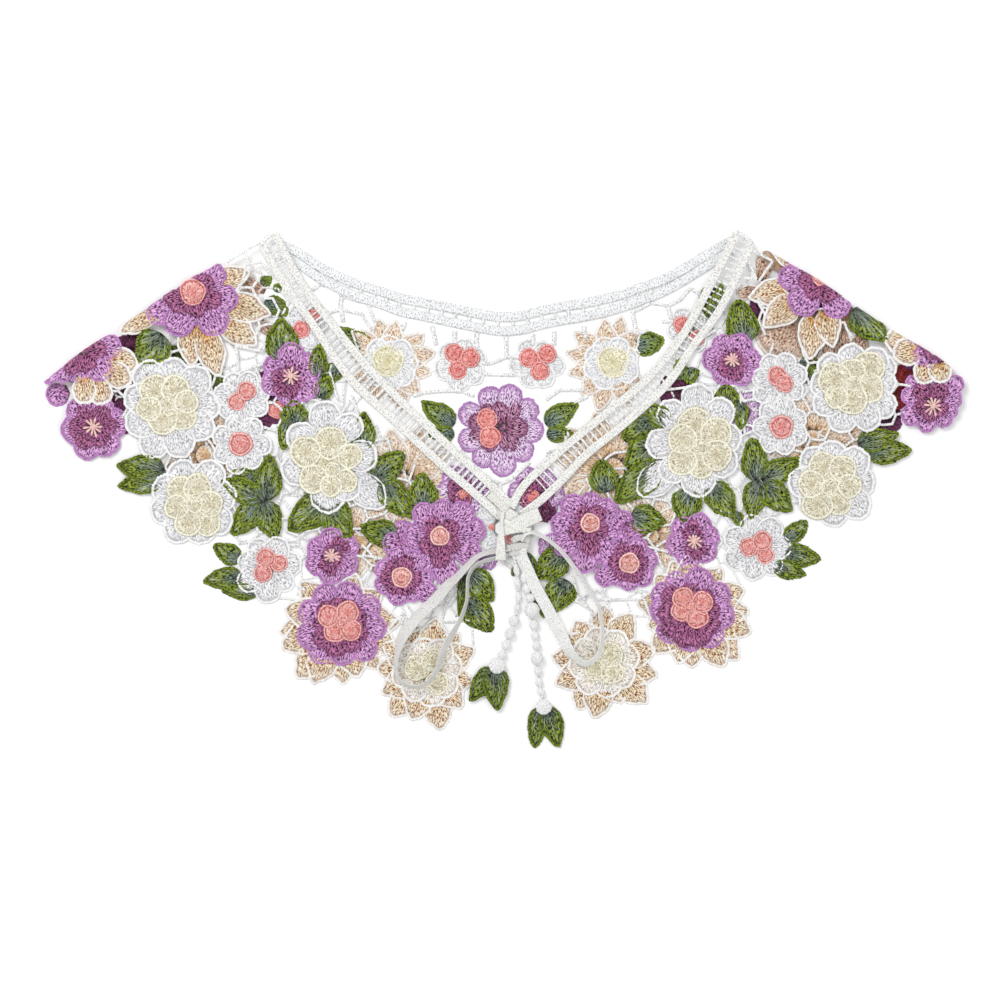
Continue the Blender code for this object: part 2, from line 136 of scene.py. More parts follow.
def place(x, y, h, layer):
    """World places, in metres, of points of the flat cloth, h out from its middle."""
    x, y, h = (np.asarray(a, float) for a in np.broadcast_arrays(x, y, h))
    if layer == "back":
        return np.stack([x * MM, y * MM, np.maximum(WALL / 2 + h, 0.04) * MM], -1)
    if layer == "floor":
        return np.stack([x * MM, y * MM, np.maximum(h, 0.04) * MM], -1)
    out = np.zeros(x.shape + (3,))
    centre = WALL / 2 + FOLD_R
    for side, mask in (("left", x < 0), ("right", x >= 0)):
        fold = FOLD[side]
        s, d = fold.flat(x, y)
        v = d + EXTRA
        quarter = math.pi / 2 * FOLD_R
        a = np.clip(v, -quarter, quarter) / FOLD_R
        hb = np.minimum(h, 2.2)
        hb = np.where(a < 0, hb + (np.minimum(hb, 0.72) - hb) * smoothstep(-a / 1.2), hb)
        dd = FOLD_R - (FOLD_R + hb) * np.cos(a)
        px, py = fold.plan(s, dd)
        pz = centre + (FOLD_R + hb) * np.sin(a)
        top = v >= quarter
        px = np.where(top, x, px)
        py = np.where(top, y, py)
        pz = np.where(top, front_level(x, y, d) + h, pz)
        under = v < -quarter
        ux, uy = fold.plan(s, FOLD_R - v - quarter)
        px = np.where(under, ux, px)
        py = np.where(under, uy, py)
        pz = np.where(under, WALL / 2 - np.clip(h, -0.8, 0.72), pz)
        point = np.stack([px, py, np.maximum(pz, 0.04)], -1) * MM
        out[mask] = point[mask]
    return out


# ---------------------------------------------------------------- colours
def lin(r, g, b):
    c = np.array([r, g, b]) / 255.0
    return np.where(c <= 0.04045, c / 12.92, ((c + 0.055) / 1.055) ** 2.4)


# Threads at a petal's base, middle and outer part, its corded rim, the rim's outer side (darkened as painted contact
# shade), what shows between the stitches (painted shade between them; for the tan, the brown stitching beneath), how
# much of that shows inside and on the rim, and the darker specks' share (painted shadow in holes).
SCHEMES = {
    "lilac": (lin(220, 150, 208), lin(232, 172, 230), lin(238, 182, 236), lin(214, 148, 220), lin(124, 52, 126), lin(76, 14, 72), 0.84, 0.45, 0.25),
    "lilac_back": (lin(222, 186, 224), lin(246, 224, 250), lin(238, 206, 242), lin(198, 142, 208), lin(136, 78, 146), lin(120, 58, 128), 0.76, 0.5, 0.1),
    "plum": (lin(178, 92, 144), lin(194, 112, 162), lin(204, 124, 174), lin(176, 96, 148), lin(70, 12, 52), lin(42, 0, 28), 0.92, 0.75, 0.3),
    "plum_back": (lin(176, 104, 144), lin(208, 150, 184), lin(196, 130, 170), lin(166, 100, 144), lin(84, 26, 62), lin(62, 8, 42), 0.9, 0.7, 0.1),
    "coral": (lin(255, 172, 164), lin(255, 192, 187), lin(255, 200, 194), lin(255, 200, 194), lin(214, 106, 100), lin(178, 44, 44), 0.70, 0.4, 0.15),
    "coral_back": (lin(252, 156, 150), lin(255, 178, 172), lin(255, 184, 178), lin(255, 188, 182), lin(208, 94, 90), lin(186, 52, 52), 0.72, 0.4, 0.1),
    "peach": (lin(255, 188, 176), lin(255, 206, 200), lin(255, 210, 204), lin(255, 216, 208), lin(212, 112, 104), lin(176, 58, 54), 0.76, 0.35, 0.1),
    "ray": (lin(252, 196, 184), lin(255, 214, 206), lin(255, 220, 212), lin(255, 224, 216), lin(206, 120, 122), lin(190, 90, 96), 0.35, 0.2, 0.1),
    "white": (lin(238, 238, 241), lin(249, 248, 250), lin(252, 251, 253), lin(255, 255, 255), lin(196, 197, 202), lin(160, 160, 166), 0.66, 0.12, 0.3),
    "white_back": (lin(238, 238, 240), lin(250, 250, 252), lin(252, 252, 253), lin(254, 254, 255), lin(200, 202, 206), lin(172, 174, 180), 0.58, 0.15, 0.1),
    "ivory": (lin(244, 238, 224), lin(252, 248, 242), lin(253, 250, 246), lin(255, 254, 251), lin(206, 200, 192), lin(180, 150, 112), 0.62, 0.12, 0.3),
    "cream": (lin(242, 234, 206), lin(250, 244, 220), lin(252, 247, 226), lin(254, 250, 230), lin(204, 196, 160), lin(150, 138, 100), 0.66, 0.22, 0.25),
    "cream_back": (lin(240, 232, 194), lin(248, 242, 210), lin(249, 244, 216), lin(252, 247, 220), lin(208, 200, 162), lin(170, 160, 112), 0.6, 0.2, 0.1),
    "tan": (lin(238, 188, 124), lin(250, 230, 196), lin(253, 240, 218), lin(255, 253, 249), lin(192, 174, 162), lin(140, 76, 30), 0.78, 0.14, 0.3),
    "tan_back": (lin(240, 206, 164), lin(248, 232, 210), lin(251, 240, 226), lin(253, 248, 242), lin(200, 182, 166), lin(170, 112, 70), 0.70, 0.2, 0.1),
    # the back's tan under a front's fold, darker as painted shade
    "tan_deep": (lin(214, 170, 140), lin(232, 202, 178), lin(240, 216, 198), lin(244, 232, 222), lin(156, 120, 98), lin(120, 72, 50), 0.78, 0.3, 0.2),
    "leaf": (lin(114, 132, 112), lin(147, 166, 52), lin(153, 172, 42), lin(138, 162, 22), lin(44, 58, 6), lin(2, 6, 0), 1.0, 0.80, 0.3),
    "leaf_tassel": (lin(106, 124, 104), lin(138, 158, 54), lin(144, 164, 44), lin(130, 154, 22), lin(40, 52, 6), lin(2, 6, 0), 1.0, 0.80, 0.3),
    "leaf_back": (lin(130, 152, 140), lin(146, 166, 76), lin(152, 174, 64), lin(136, 160, 38), lin(58, 76, 16), lin(12, 20, 8), 0.97, 0.66, 0.2),
    # the back's leaves under a front's fold, darker as painted shade
    "leaf_deep": (lin(98, 110, 84), lin(108, 122, 56), lin(114, 130, 50), lin(104, 120, 44), lin(50, 62, 22), lin(12, 16, 8), 1.0, 0.8, 0.2),
}
# how much painted shade darkens the groove inside each kind of rim
GROOVE = {"ray": 0.6, "coral_back": 0.8, "leaf": 0.8, "leaf_tassel": 0.8, "leaf_back": 0.75, "leaf_deep": 0.7, "lilac": 0.42, "plum": 0.35, "coral": 0.85, "peach": 0.75, "white": 0.55, "white_back": 0.5, "cream": 0.32, "cream_back": 0.35, "ivory": 0.45,
          "tan": 0.4}
SPECK = {"leaf": lin(196, 206, 196), "leaf_tassel": lin(190, 200, 190), "leaf_back": lin(180, 190, 186)}
COVER = {"front": [], "back": [], "floor": []}


# ---------------------------------------------------------------- gathering meshes
class Piece:
    """Vertices, faces, colours and thread coordinates of one joined mesh."""

    def __init__(self, name):
        self.name = name
        self.verts, self.faces, self.colours, self.gaps, self.uvs = [], [], [], [], []
        self.count = 0

    def add(self, points, faces, colours, gaps, uvs):
        self.verts.append(points)
        self.colours.append(np.clip(colours, 0, 1))
        self.gaps.append(np.clip(gaps, 0, 1))
        self.uvs.append(uvs)
        self.faces.append((faces, self.count))
        self.count += len(points)

    def grid(self, points, colours, gaps, uvs, closed_rows=True, closed_cols=False, caps=True):
        """points is (columns, rows, 3); the rows go round a closed section."""
        cols, rows = points.shape[:2]
        i = np.arange(cols if closed_cols else cols - 1)[:, None]
        j = np.arange(rows if closed_rows else rows - 1)[None, :]
        i2, j2 = (i + 1) % cols, (j + 1) % rows
        quads = np.stack(np.broadcast_arrays(i * rows + j, i2 * rows + j, i2 * rows + j2, i * rows + j2), -1)
        quads = quads.reshape(-1, 4).tolist()
        if caps and not closed_cols:
            for base, flip in ((0, False), ((cols - 1) * rows, True)):
                a, d = 0, rows - 1
                while d - a >= 2:
                    face = [base + a, base + a + 1, base + d - 1, base + d] if d - a > 2 else [base + a, base + a + 1, base + d]
                    quads.append(face[::-1] if flip else face)
                    a, d = a + 1, d - 1
        self.add(points.reshape(-1, 3), quads, colours.reshape(-1, 3), gaps.reshape(-1, 4), uvs.reshape(-1, 2))

    def build(self, material, node_slot, smooth=True):
        mesh = bpy.data.meshes.new(self.name)
        verts = np.concatenate(self.verts)
        faces = []
        for group, base in self.faces:
            faces.extend([[k + base for k in f] for f in group])
        mesh.from_pydata(verts.tolist(), [], faces)
        colours = np.concatenate(self.colours)
        attribute = mesh.color_attributes.new("thread_colour", "FLOAT_COLOR", "POINT")
        attribute.data.foreach_set("color", np.concatenate([colours, np.ones((len(colours), 1))], 1).ravel())
        attribute = mesh.color_attributes.new("gap_colour", "FLOAT_COLOR", "POINT")
        attribute.data.foreach_set("color", np.concatenate(self.gaps).ravel())
        uvs = np.concatenate(self.uvs)
        layer = mesh.uv_layers.new(name="thread")
        index = np.empty(len(mesh.loops), np.int32)
        mesh.loops.foreach_get("vertex_index", index)
        layer.data.foreach_set("uv", uvs[index].ravel())
        if smooth:
            mesh.shade_smooth()
        mesh.materials.append(material)
        obj = bpy.data.objects.new(self.name, mesh)
        bpy.context.scene.collection.objects.link(obj)
        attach(obj, "root")
        self.obj = obj
        total = sum(len(p.vertices) - 2 for p in mesh.polygons)
        TRIANGLES.append(total)
        print("TRIANGLES", self.name, total)
        return obj


TRIANGLES = []


# The hearts and second rows of the flowers are worked on top, in pieces of their own.
UPPER = {}
UPPER_SCHEMES = ("plum", "cream", "peach", "coral", "plum_back", "cream_back", "coral_back")


# ---------------------------------------------------------------- satin-stitched lobes
ROWS_H = [(0.15, 0), (0.75, 0), (1.0, 0), (0.9, 0), (0.55, 0), (0.10, 0), (0, 0.85), (0, 1.0), (0, 0.5)]
KINDS = [0, 0, 1, 1, 2, 2, 3, 3, 3, 4, 4, 0]


def lobe(piece, u, v, turn, tip, base, half, scheme, layer="front", low=-0.6, crown=0.55, rim=1.2,
         rim_rise=0.7, shape="round", sweep=112.0, mouth=0.35, tilt=0.0, pitch=PITCH,
         roundness=0.95, ragged=0.10, blue=0.5, cover=True):
    """One padded petal or leaf worked in satin stitch.
    (u, v) is the flower's middle on the chart and turn the petal's direction in degrees,
    anticlockwise from +X. base and tip are how far out it starts and ends, half its half
    width, in chart units. Heights are in mm: low is the wall's middle at the petal, crown
    the padding, rim_rise the corded edge."""
    if scheme in UPPER_SCHEMES:
        piece = UPPER.get(piece.name, piece)
    x0, y0 = at(u, v)
    c, s = math.cos(math.radians(turn)), math.sin(math.radians(turn))
    base, tip, half = base * UNIT, tip * UNIT, half * UNIT
    point = {"round": 0.0, "pointed": 0.30, "leaf": 0.24}[shape]
    a_len = max(0.4, min(half * roundness, 0.85 * (tip - base))) / (1 + point)
    pc = tip - a_len * (1 + point)
    b_len = a_len if shape == "round" else max(0.3, (pc - base) * 0.98)
    th = np.linspace(-math.radians(sweep), math.radians(sweep), 121)
    cs, sn = np.cos(th), np.sin(th)
    front = np.maximum(cs, 0)
    ep = pc + np.where(cs >= 0, a_len * (cs + point * front ** 5), b_len * cs)
    eq = half * sn * (1 - 0.6 * point * front ** 2)
    if shape == "round":
        wave = rng.uniform(-0.05, 0.05)
        eq = eq * (1 + wave * cs)
    ripple = 1 + 0.022 * np.sin(rng.integers(4, 7) * th + rng.uniform(0, 6)) + 0.014 * np.sin(11 * th + rng.uniform(0, 6))
    ep, eq = pc + (ep - pc) * ripple, eq * ripple
    ep = np.maximum(ep, base + 0.02)
    if cover:
        k = slice(0, None, 8)
        COVER[layer].append(np.stack([x0 + ep[k] * c - eq[k] * s, y0 + ep[k] * s + eq[k] * c], -1))
    step = np.hypot(np.diff(ep), np.diff(eq))
    run = np.concatenate([[0], np.cumsum(step)])
    threads = max(5, int(run[-1] / pitch))
    cols = 2 * threads + 1
    pos = np.linspace(0, run[-1], cols)
    pos[1:-1] += rng.uniform(-0.2, 0.2, cols - 2) * run[-1] / cols
    ep, eq = np.interp(pos, run, ep), np.interp(pos, run, eq)
    t = np.linspace(-1, 1, cols)
    sp = np.full(cols, base)
    sq = mouth * half * t
    dx, dy = ep - sp, eq - sq
    length = np.maximum(np.hypot(dx, dy), 0.3)
    tx, ty = np.gradient(ep), np.gradient(eq)
    sine = np.abs(dx * ty - dy * tx) / (length * np.hypot(tx, ty) + 1e-9)
    sr = np.clip(1 - rim / np.maximum(sine, 0.4) / length, 0.30, 0.94)
    crest = (np.arange(cols) % 2 == 0)
    grow = 1 + (np.where(crest, 1, -0.6) * abs(ragged) + rng.normal(0, ragged, cols)) / length
    ep, eq = sp + dx * grow, sq + dy * grow
    one = np.ones(cols)
    spread = [0 * one, 0.22 * sr, 0.46 * sr, 0.70 * sr, 0.90 * sr, 0.985 * sr, sr + 0.28 * (1 - sr), sr + 0.62 * (1 - sr),
              sr + 0.93 * (1 - sr), one, 0.99 * one, 0.35 * one]
    height = [a * crown + b * rim_rise for a, b in ROWS_H] + [-0.05, -0.30, -0.30]
    base_c, mid_c, far_c, rim_c, edge_c, gap_c, amount, rim_amount, specks = SCHEMES[scheme]
    # edge_c darkens the rim's outer rows as painted contact shade
    palette = [base_c, mid_c, far_c, rim_c, edge_c]
    n_rows = len(spread)
    pts = np.zeros((cols, n_rows, 3))
    rgb = np.zeros((cols, n_rows, 3))
    gap = np.zeros((cols, n_rows, 4))
    uvs = np.zeros((cols, n_rows, 2))
    tone = np.repeat(rng.uniform(0.90, 1.08, threads + 1), 2)[:cols]
    depth = np.where(crest, 0.0, -rng.uniform(0.10, 0.28, cols))
    bend = rng.normal(0, 0.012, cols)
    centred = pos - run[-1] / 2
    groove = GROOVE.get(scheme, 0.35)
    off_u, off_v = rng.uniform(0, 60, 2)
    speck_c = SPECK.get(scheme, gap_c * 0.3)
    leafy = scheme.startswith("leaf")
    for r in range(n_rows):
        w, rh, kind = spread[r], height[r], KINDS[r]
        p = sp + (ep - sp) * w
        q = sq + (eq - sq) * (w if shape == "round" else w ** 0.85) + bend * np.sin(math.pi * w) * half
        h = low + rh + tilt * q / max(half, 0.1)
        if r < 9:
            worn = rng.uniform(0.1, 1.1, cols) if kind != 3 else rng.uniform(0.5, 1.2, cols)
            h = h + depth * worn * min(1.0, rh / 0.3 + 0.3) + rng.uniform(-0.06, 0.06, cols)
        pts[:, r] = place(x0 + p * c - q * s, y0 + p * s + q * c, h, layer)
        colour = np.broadcast_to(palette[kind], (cols, 3)).copy()
        if leafy and r < 6:
            near = np.clip((blue - w) * 4.0 + 0.5 + rng.uniform(-0.4, 0.4, cols), 0, 1)[:, None]
            colour = base_c * near + (mid_c * (1 - w[:, None]) + far_c * w[:, None]) * (1 - near)
        # painted highlight on the crest threads and painted shade on the trough threads, over each thread's own random
        # tone
        rgb[:, r] = colour * tone[:, None] * np.where(crest, rng.uniform(1.0, 1.06, cols), rng.uniform(0.86, 1.0, cols))[:, None]
        # a share of columns take speck_c in their gaps: for leaves pale specks, for the other schemes a darker gap
        # colour as painted shadow in holes
        shade = np.where(rng.uniform(0, 1, cols) < specks * 0.5, 1.0, 0.0)[:, None]
        if kind >= 3:
            shade = shade * 0
        gap[:, r, :3] = gap_c * (1 - shade) + speck_c * shade
        gap[:, r, 3] = [amount, amount, amount * 0.85, rim_amount, 0.25][kind]
        # the groove row inside the rim is mixed towards the gap colour as painted shade
        if r == 5:
            rgb[:, r] = rgb[:, r] * (1 - groove) + gap_c * groove
        if r < 6:
            uvs[:, r, 0] = (q * (1 - 0.4 * w) + centred * 0.4 * w) / 10.0 + off_u
        else:
            uvs[:, r, 0] = pos / 10.0 + off_u
        uvs[:, r, 1] = w * length / 10.0 + off_v
    piece.grid(pts[:, ::-1], rgb[:, ::-1], gap[:, ::-1], uvs[:, ::-1])


def shingle(k, n):
    """How far up a petal lies among its neighbours."""
    return 0.20 * (k % 2) + 0.08 * ((k * 5) % 3) + (0.1 if n % 2 and k == n - 1 else 0.0)


def ring(piece, u, v, count, phase, base, tip, half, scheme, jitter=4.0, low=-0.6, vary=0.05, **more):
    """A ring of lobes, each a little over or under its neighbour."""
    for k in range(count):
        turn = phase + 360.0 * k / count + rng.uniform(-jitter, jitter)
        lobe(piece, u, v, turn, tip * rng.uniform(1 - vary, 1 + vary), base, half * rng.uniform(0.95, 1.06), scheme,
             low=low + shingle(k, count), tilt=0.08 if k % 3 else -0.06, **more)


def petals(piece, u, v, rows, base, scheme, low=-0.6, **more):
    """Petals one by one, each its direction, reach and half width."""
    for k, (turn, reach, half) in enumerate(rows):
        lobe(piece, u, v, turn, reach, base * reach, half, scheme, low=low + shingle(k, len(rows)), tilt=0.06 if k % 2 else -0.05, **more)


def toward(piece, u, v, tips, half, base, scheme, over=0.0, low=-0.6, **more):
    """Petals from the middle (u, v) to each tip, or over by so much."""
    if over:
        mid = np.mean([t[:2] for t in tips], axis=0)
        reach = float(np.mean([math.hypot(t[0] - mid[0], t[1] - mid[1]) for t in tips]))
        dome(piece, mid[0], mid[1], reach * 0.95, scheme, low - 0.2, 0.15, layer=more.get("layer", "front"), rim=0.5)
    for k, place_k in enumerate(tips):
        tu, tv = place_k[:2]
        h = place_k[2] if len(place_k) > 2 else half
        run = math.hypot(tu - u, tv - v) + (h if over else 0.0) * over
        turn = math.degrees(math.atan2(-(tv - v), tu - u))
        lobe(piece, u, v, turn, run, base * run, h * 1.04, scheme, low=low + shingle(k, len(tips)), tilt=0.06 if k % 2 else -0.05, **more)


def dome(piece, u, v, r, scheme, low, crown=0.7, layer="front", rim=0.9, oval=1.0, turn=0.0):
    """A round button of thread: a corded ring with stitches across its middle."""
    piece = UPPER.get(piece.name, piece)
    x0, y0 = at(u, v)
    r_mm = r * UNIT
    threads = max(9, int(2 * math.pi * r_mm / PITCH))
    cols = threads * 2
    base_c, mid_c, far_c, rim_c, edge_c, gap_c, amount, rim_amount, specks = SCHEMES[scheme]
    groove = GROOVE.get(scheme, 0.5)
    f_rim = max(0.45, 1 - rim / r_mm)
    rows = [(0.8, -0.35, 4), (1.0, -0.25, 4), (1.0, 0.05, 4), (1 - (1 - f_rim) * 0.3, crown * 0.9, 3), (1 - (1 - f_rim) * 0.7, crown, 3),
            (f_rim * 0.97, crown * 0.45, 5), (f_rim * 0.8, crown * 0.62, 2), (f_rim * 0.5, crown * 0.85, 1), (f_rim * 0.22, crown * 0.95, 0), (0.03, crown, 0)]
    ang = np.linspace(0, 2 * math.pi, cols, endpoint=False)
    crest = np.arange(cols) % 2 == 0
    pts, rgb, gaps, uvs = [], [], [], []
    tone = np.repeat(rng.uniform(0.94, 1.06, threads), 2)
    ct, st = math.cos(math.radians(turn)), math.sin(math.radians(turn))
    off_u, off_v = rng.uniform(0, 60, 2)
    phase = rng.uniform(0, 6)
    for k, (f, h, kind) in enumerate(rows):
        hh = low + h + (np.where(crest, 0, -rng.uniform(0.05, 0.2, cols)) if 3 <= k <= 6 else 0) + (rng.uniform(-0.09, 0.09, cols) if k > 5 else 0)
        wob = r_mm * f * (1 + 0.03 * np.sin(3 * ang + phase) + 0.02 * np.sin(5 * ang + 2 * phase) + (rng.normal(0, 0.02, cols) if 1 <= k <= 4 else 0))
        a, b = wob * np.cos(ang) * oval, wob * np.sin(ang)
        x, y = x0 + a * ct - b * st, y0 + a * st + b * ct
        if layer == "world":
            pts.append(np.stack([x * MM, y * MM, np.maximum(hh, 0.05) * MM], -1))
        else:
            pts.append(place(x, y, hh, layer))
        # kind 4 is the rim's outer side and kind 5 the groove, both darkened as painted shade
        c = [base_c, mid_c, far_c, rim_c, edge_c, (1 - groove) * far_c + groove * gap_c][kind]
        rgb.append(c[None, :] * tone[:, None])
        g = np.zeros((cols, 4))
        g[:, :3] = gap_c
        g[:, 3] = [amount, amount, amount, rim_amount, 0.25, 0.6][kind]
        gaps.append(g)
        uvs.append(np.stack([ang * r_mm * (0.62 if kind in (0, 1) else 0.8) / 10 + off_u, f * r_mm / 10 + off_v + rng.uniform(-0.02, 0.02, cols)], -1))
    n = len(rows)
    piece.grid(np.stack(pts, 1), np.stack(rgb, 1), np.stack(gaps, 1), np.stack(uvs, 1), closed_rows=False, closed_cols=True, caps=False)
    last = piece.faces[-1][0]
    last.append([i * n + n - 1 for i in range(cols)])
    last.append([i * n for i in range(cols)][::-1])


# ---------------------------------------------------------------- flowers
WHITE_RIM = dict(rim=2.0, rim_rise=0.5, ragged=0.16)
SMALL_RIM = dict(rim=1.7, rim_rise=0.5, ragged=0.14)
FINE_RIM = dict(rim=1.3, rim_rise=0.45, ragged=0.14)
NO_RIM = dict(rim=0.7, rim_rise=0.25, ragged=0.35)
TAN_RIM = dict(rim=1.9, rim_rise=0.5, shape="pointed", sweep=125.0, roundness=1.75, ragged=0.14)


def rosette(p, u, v, r, phase=0.0, layer="front", low=0.45, count=5, scheme="cream", circles=(), eye=None):
    """Overlapping rings of thread, as wide as each needs, and a small one in the middle."""
    if not circles:
        circles = [(u + 0.58 * r * math.cos(a), v + 0.58 * r * math.sin(a), 0.44 * r) for a in
                   (math.radians(phase) + 2 * math.pi * k / count for k in range(count))]
        eye = eye or (u, v, 0.28 * r)
    dome(p, u, v, 0.66 * r, scheme, low - 0.25, 0.2, layer=layer, rim=0.5)
    for k, (cu, cv, cr) in enumerate(circles):
        dome(p, cu, cv, cr * 1.16, scheme, low + 0.14 * (k % 3), 0.34, layer=layer, rim=1.5, oval=rng.uniform(0.94, 1.06), turn=rng.uniform(0, 180))
    if eye:
        dome(p, *eye, scheme, low + 0.38, 0.34, layer=layer, rim=1.0)


def white_big(p, u, v, r, phase=0.0, cream=(0.0, 0.0), petals=9, cream_r=0.60, layer="front", low=-0.3, scheme="white", circles=(), eye=None):
    dome(p, u, v, 0.72 * r, scheme, low - 0.2, 0.2, layer=layer, rim=0.5)
    ring(p, u, v, petals, phase, 0.20 * r, r, (0.325 if petals > 8 else 0.36) * r, scheme, low=low, crown=0.5, layer=layer, roundness=1.08, vary=0.07, **WHITE_RIM)
    rosette(p, u + cream[0], v + cream[1], cream_r * r, phase + 20, layer, low + 0.8, circles=circles, eye=eye)


def white_small(p, u, v, r, phase=0.0, petals=7, hearts=(), dome_r=0, scheme="white", layer="front", low=-0.45):
    dome(p, u, v, 0.6 * r, scheme, low - 0.2, 0.2, layer=layer, rim=0.5)
    ring(p, u, v, petals, phase, 0.12 * r, r, (0.44 if petals == 6 else 0.385) * r, scheme, low=low, crown=0.5, layer=layer, roundness=1.05, vary=0.07, **SMALL_RIM)
    heart = "coral" if layer == "front" else "coral_back"
    if dome_r:
        dome(p, u, v, dome_r, heart, low + 0.85, layer=layer, rim=1.6)
    for k, (hu, hv, hr) in enumerate(hearts):
        dome(p, hu, hv, hr, heart, low + 0.65 + 0.22 * k, 0.65, layer=layer, rim=1.2)


def lilac_flower(p, u, v, r, phase=0.0, count=6, plum=((0.0, 0.0),), plum_r=0.6, plum_n=5, eye="star", eye_r=6.5,
                 layer="front", low=-0.4, scheme="lilac", plum_scheme="plum", plum_phase=0.0, outer=None):
    if outer is None:
        dome(p, u, v, 0.62 * r, scheme, low - 0.2, 0.2, layer=layer, rim=0.5)
        ring(p, u, v, count, phase, 0.18 * r, r, {5: 0.52, 6: 0.45, 7: 0.40, 8: 0.36}.get(count, 0.34) * r, scheme, low=low, crown=0.5, layer=layer, roundness=1.02, vary=0.07, **FINE_RIM)
    for du, dv in plum:
        ring(p, u + du, v + dv, plum_n, plum_phase, 0.08 * r, plum_r * r, 0.40 * plum_r * r * 1.2, plum_scheme, low=low + 0.55, crown=0.45, layer=layer,
             jitter=8, vary=0.1, cover=False, **NO_RIM)
    if eye == "star":
        for k in range(10):
            lobe(p, u, v, 36 * k + rng.uniform(-7, 7), 1.2 * eye_r * rng.uniform(0.8, 1.2), 0.3, 1.1, "ray", layer=layer,
                 low=low + 1.15 + 0.1 * (k % 2), crown=0.35, rim=0.3, rim_rise=0.25, shape="pointed", pitch=1.0, ragged=0.02, cover=False)
        dome(p, u, v, 3.0, "ray", low + 1.5, 0.35, layer=layer, rim=0.4)
    elif eye == "ring":
        dome(p, u, v, eye_r, "peach", low + 1.15, 0.65, layer=layer, rim=1.3)


def tan_ring(p, u, v, r, count, phase, layer="front", low=-0.7, scheme="tan", half=0.235, base=0.25, **more):
    args = dict(TAN_RIM)
    args.update(more)
    ring(p, u, v, count, phase, base * r, r, half * r, scheme, low=low, crown=0.45, layer=layer, **args)


def leaf(p, bu, bv, tu, tv, half, layer="front", low=-0.35, scheme="leaf", blue=0.48, **more):
    """A leaf from its base (bu, bv) to its tip (tu, tv)."""
    run = math.hypot(tu - bu, tv - bv)
    turn = math.degrees(math.atan2(-(tv - bv), tu - bu))
    args = dict(crown=0.45, rim=2.3, rim_rise=0.65, shape="leaf", sweep=160.0, mouth=0.10, roundness=max(1.0, 0.66 * run / half), ragged=0.22, tilt=rng.uniform(-0.1, 0.1))
    args.update(more)
    lobe(p, bu, bv, turn, run, -0.02 * run, half, scheme, layer=layer, low=low, blue=blue, **args)


# ---------------------------------------------------------------- bars, bands and ribbons
def catmull(points, step):
    pts = [np.array(q, float) for q in points]
    pad = [2 * pts[0] - pts[1]] + pts + [2 * pts[-1] - pts[-2]]
    out = []
    for i in range(1, len(pad) - 2):
        a, b, c, d = pad[i - 1:i + 3]
        n = max(1, round(float(np.linalg.norm((c - b)[:2])) / step))
        for k in range(n):
            t = k / n
            out.append(0.5 * (2 * b + (c - a) * t + (2 * a - 5 * b + 4 * c - d) * t * t + (3 * b - a - 3 * c + d) * t ** 3))
    out.append(pts[-1])
    return np.array(out)


CORD_GAP = lin(164, 164, 162)
RIBBON_GAP = lin(176, 174, 170)


def band(piece, route, width, thick, layer, height=0.0, step=0.9, rib=0.05, n=8, groove=0.0, colour=(250, 250, 250),
         gap_c=CORD_GAP, amount=0.55, world=False, square=0.6, edge=0.82, wide=None, roll=None):
    """A flat band along a route in mm: x, y and, with world, z. wide and roll, one for each point
    of the route, are its width there and the turn of its section in degrees."""
    line = catmull([tuple(q[:3]) if world else tuple(q[:2]) for q in route], step)
    cols = len(line)
    xy = line[:, :2]
    tangent = np.gradient(xy, axis=0)
    tangent /= np.linalg.norm(tangent, axis=1)[:, None] + 1e-9
    normal = np.stack([-tangent[:, 1], tangent[:, 0]], -1)
    ang = np.linspace(0, 2 * math.pi, n, endpoint=False) + math.pi / n
    across = np.sign(np.cos(ang)) * np.abs(np.cos(ang)) ** square
    up = np.sign(np.sin(ang)) * np.abs(np.sin(ang)) ** square
    where_k = np.linspace(0, 1, cols)
    w = np.full(cols, width / 2) if wide is None else np.interp(where_k, np.linspace(0, 1, len(wide)), wide) / 2
    angle = np.zeros(cols) if roll is None else np.interp(where_k, np.linspace(0, 1, len(roll)), np.radians(roll))
    ribs = np.where(np.arange(cols) % 2 == 0, 1.0, 1.0 - 2 * rib) * rng.uniform(1 - rib, 1.0, cols)
    base = lin(*colour)
    pts = np.zeros((cols, n, 3))
    rgb = np.zeros((cols, n, 3))
    gaps = np.zeros((cols, n, 4))
    uvs = np.zeros((cols, n, 2))
    off = rng.uniform(0, 60)
    for k in range(n):
        side = across[k] * w
        rise = up[k] * thick / 2 * ribs
        if groove:
            rise = rise * (1 - groove * math.exp(-(across[k] / 0.35) ** 2))
        if world:
            a = side * np.cos(angle) - rise * np.sin(angle)
            b = side * np.sin(angle) + rise * np.cos(angle)
            pts[:, k, :2] = (xy + normal * a[:, None]) * MM
            pts[:, k, 2] = np.maximum(line[:, 2] + b, 0.05) * MM
        else:
            q = xy + normal * side[:, None]
            pts[:, k] = place(q[:, 0], q[:, 1], height + rise, layer)
        # painted shade: an edge factor below 1 darkens the band's outermost sides, as on the cords, bars and neckbands;
        # above 1, as on the loops, it lightens them
        dark = edge if abs(across[k]) > 0.9 else 1.0
        rgb[:, k] = base * dark * rng.uniform(0.97, 1.0, cols)[:, None]
        gaps[:, k, :3] = gap_c
        gaps[:, k, 3] = amount
        uvs[:, k, 0] = where_k * cols * step / 10 + off
        uvs[:, k, 1] = across[k] * width / 20
    piece.grid(pts, rgb, gaps, uvs)


def covered(x, y, layer, margin=0.0):
    """Which points lie under a motif."""
    hit = np.zeros(x.shape, bool)
    for poly in COVER[layer]:
        lo, hi = poly.min(0), poly.max(0)
        near = (x > lo[0]) & (x < hi[0]) & (y > lo[1]) & (y < hi[1]) & ~hit
        if near.any():
            idx = np.where(near)[0]
            hit[idx] |= inside(x[idx], y[idx], poly)
    return hit


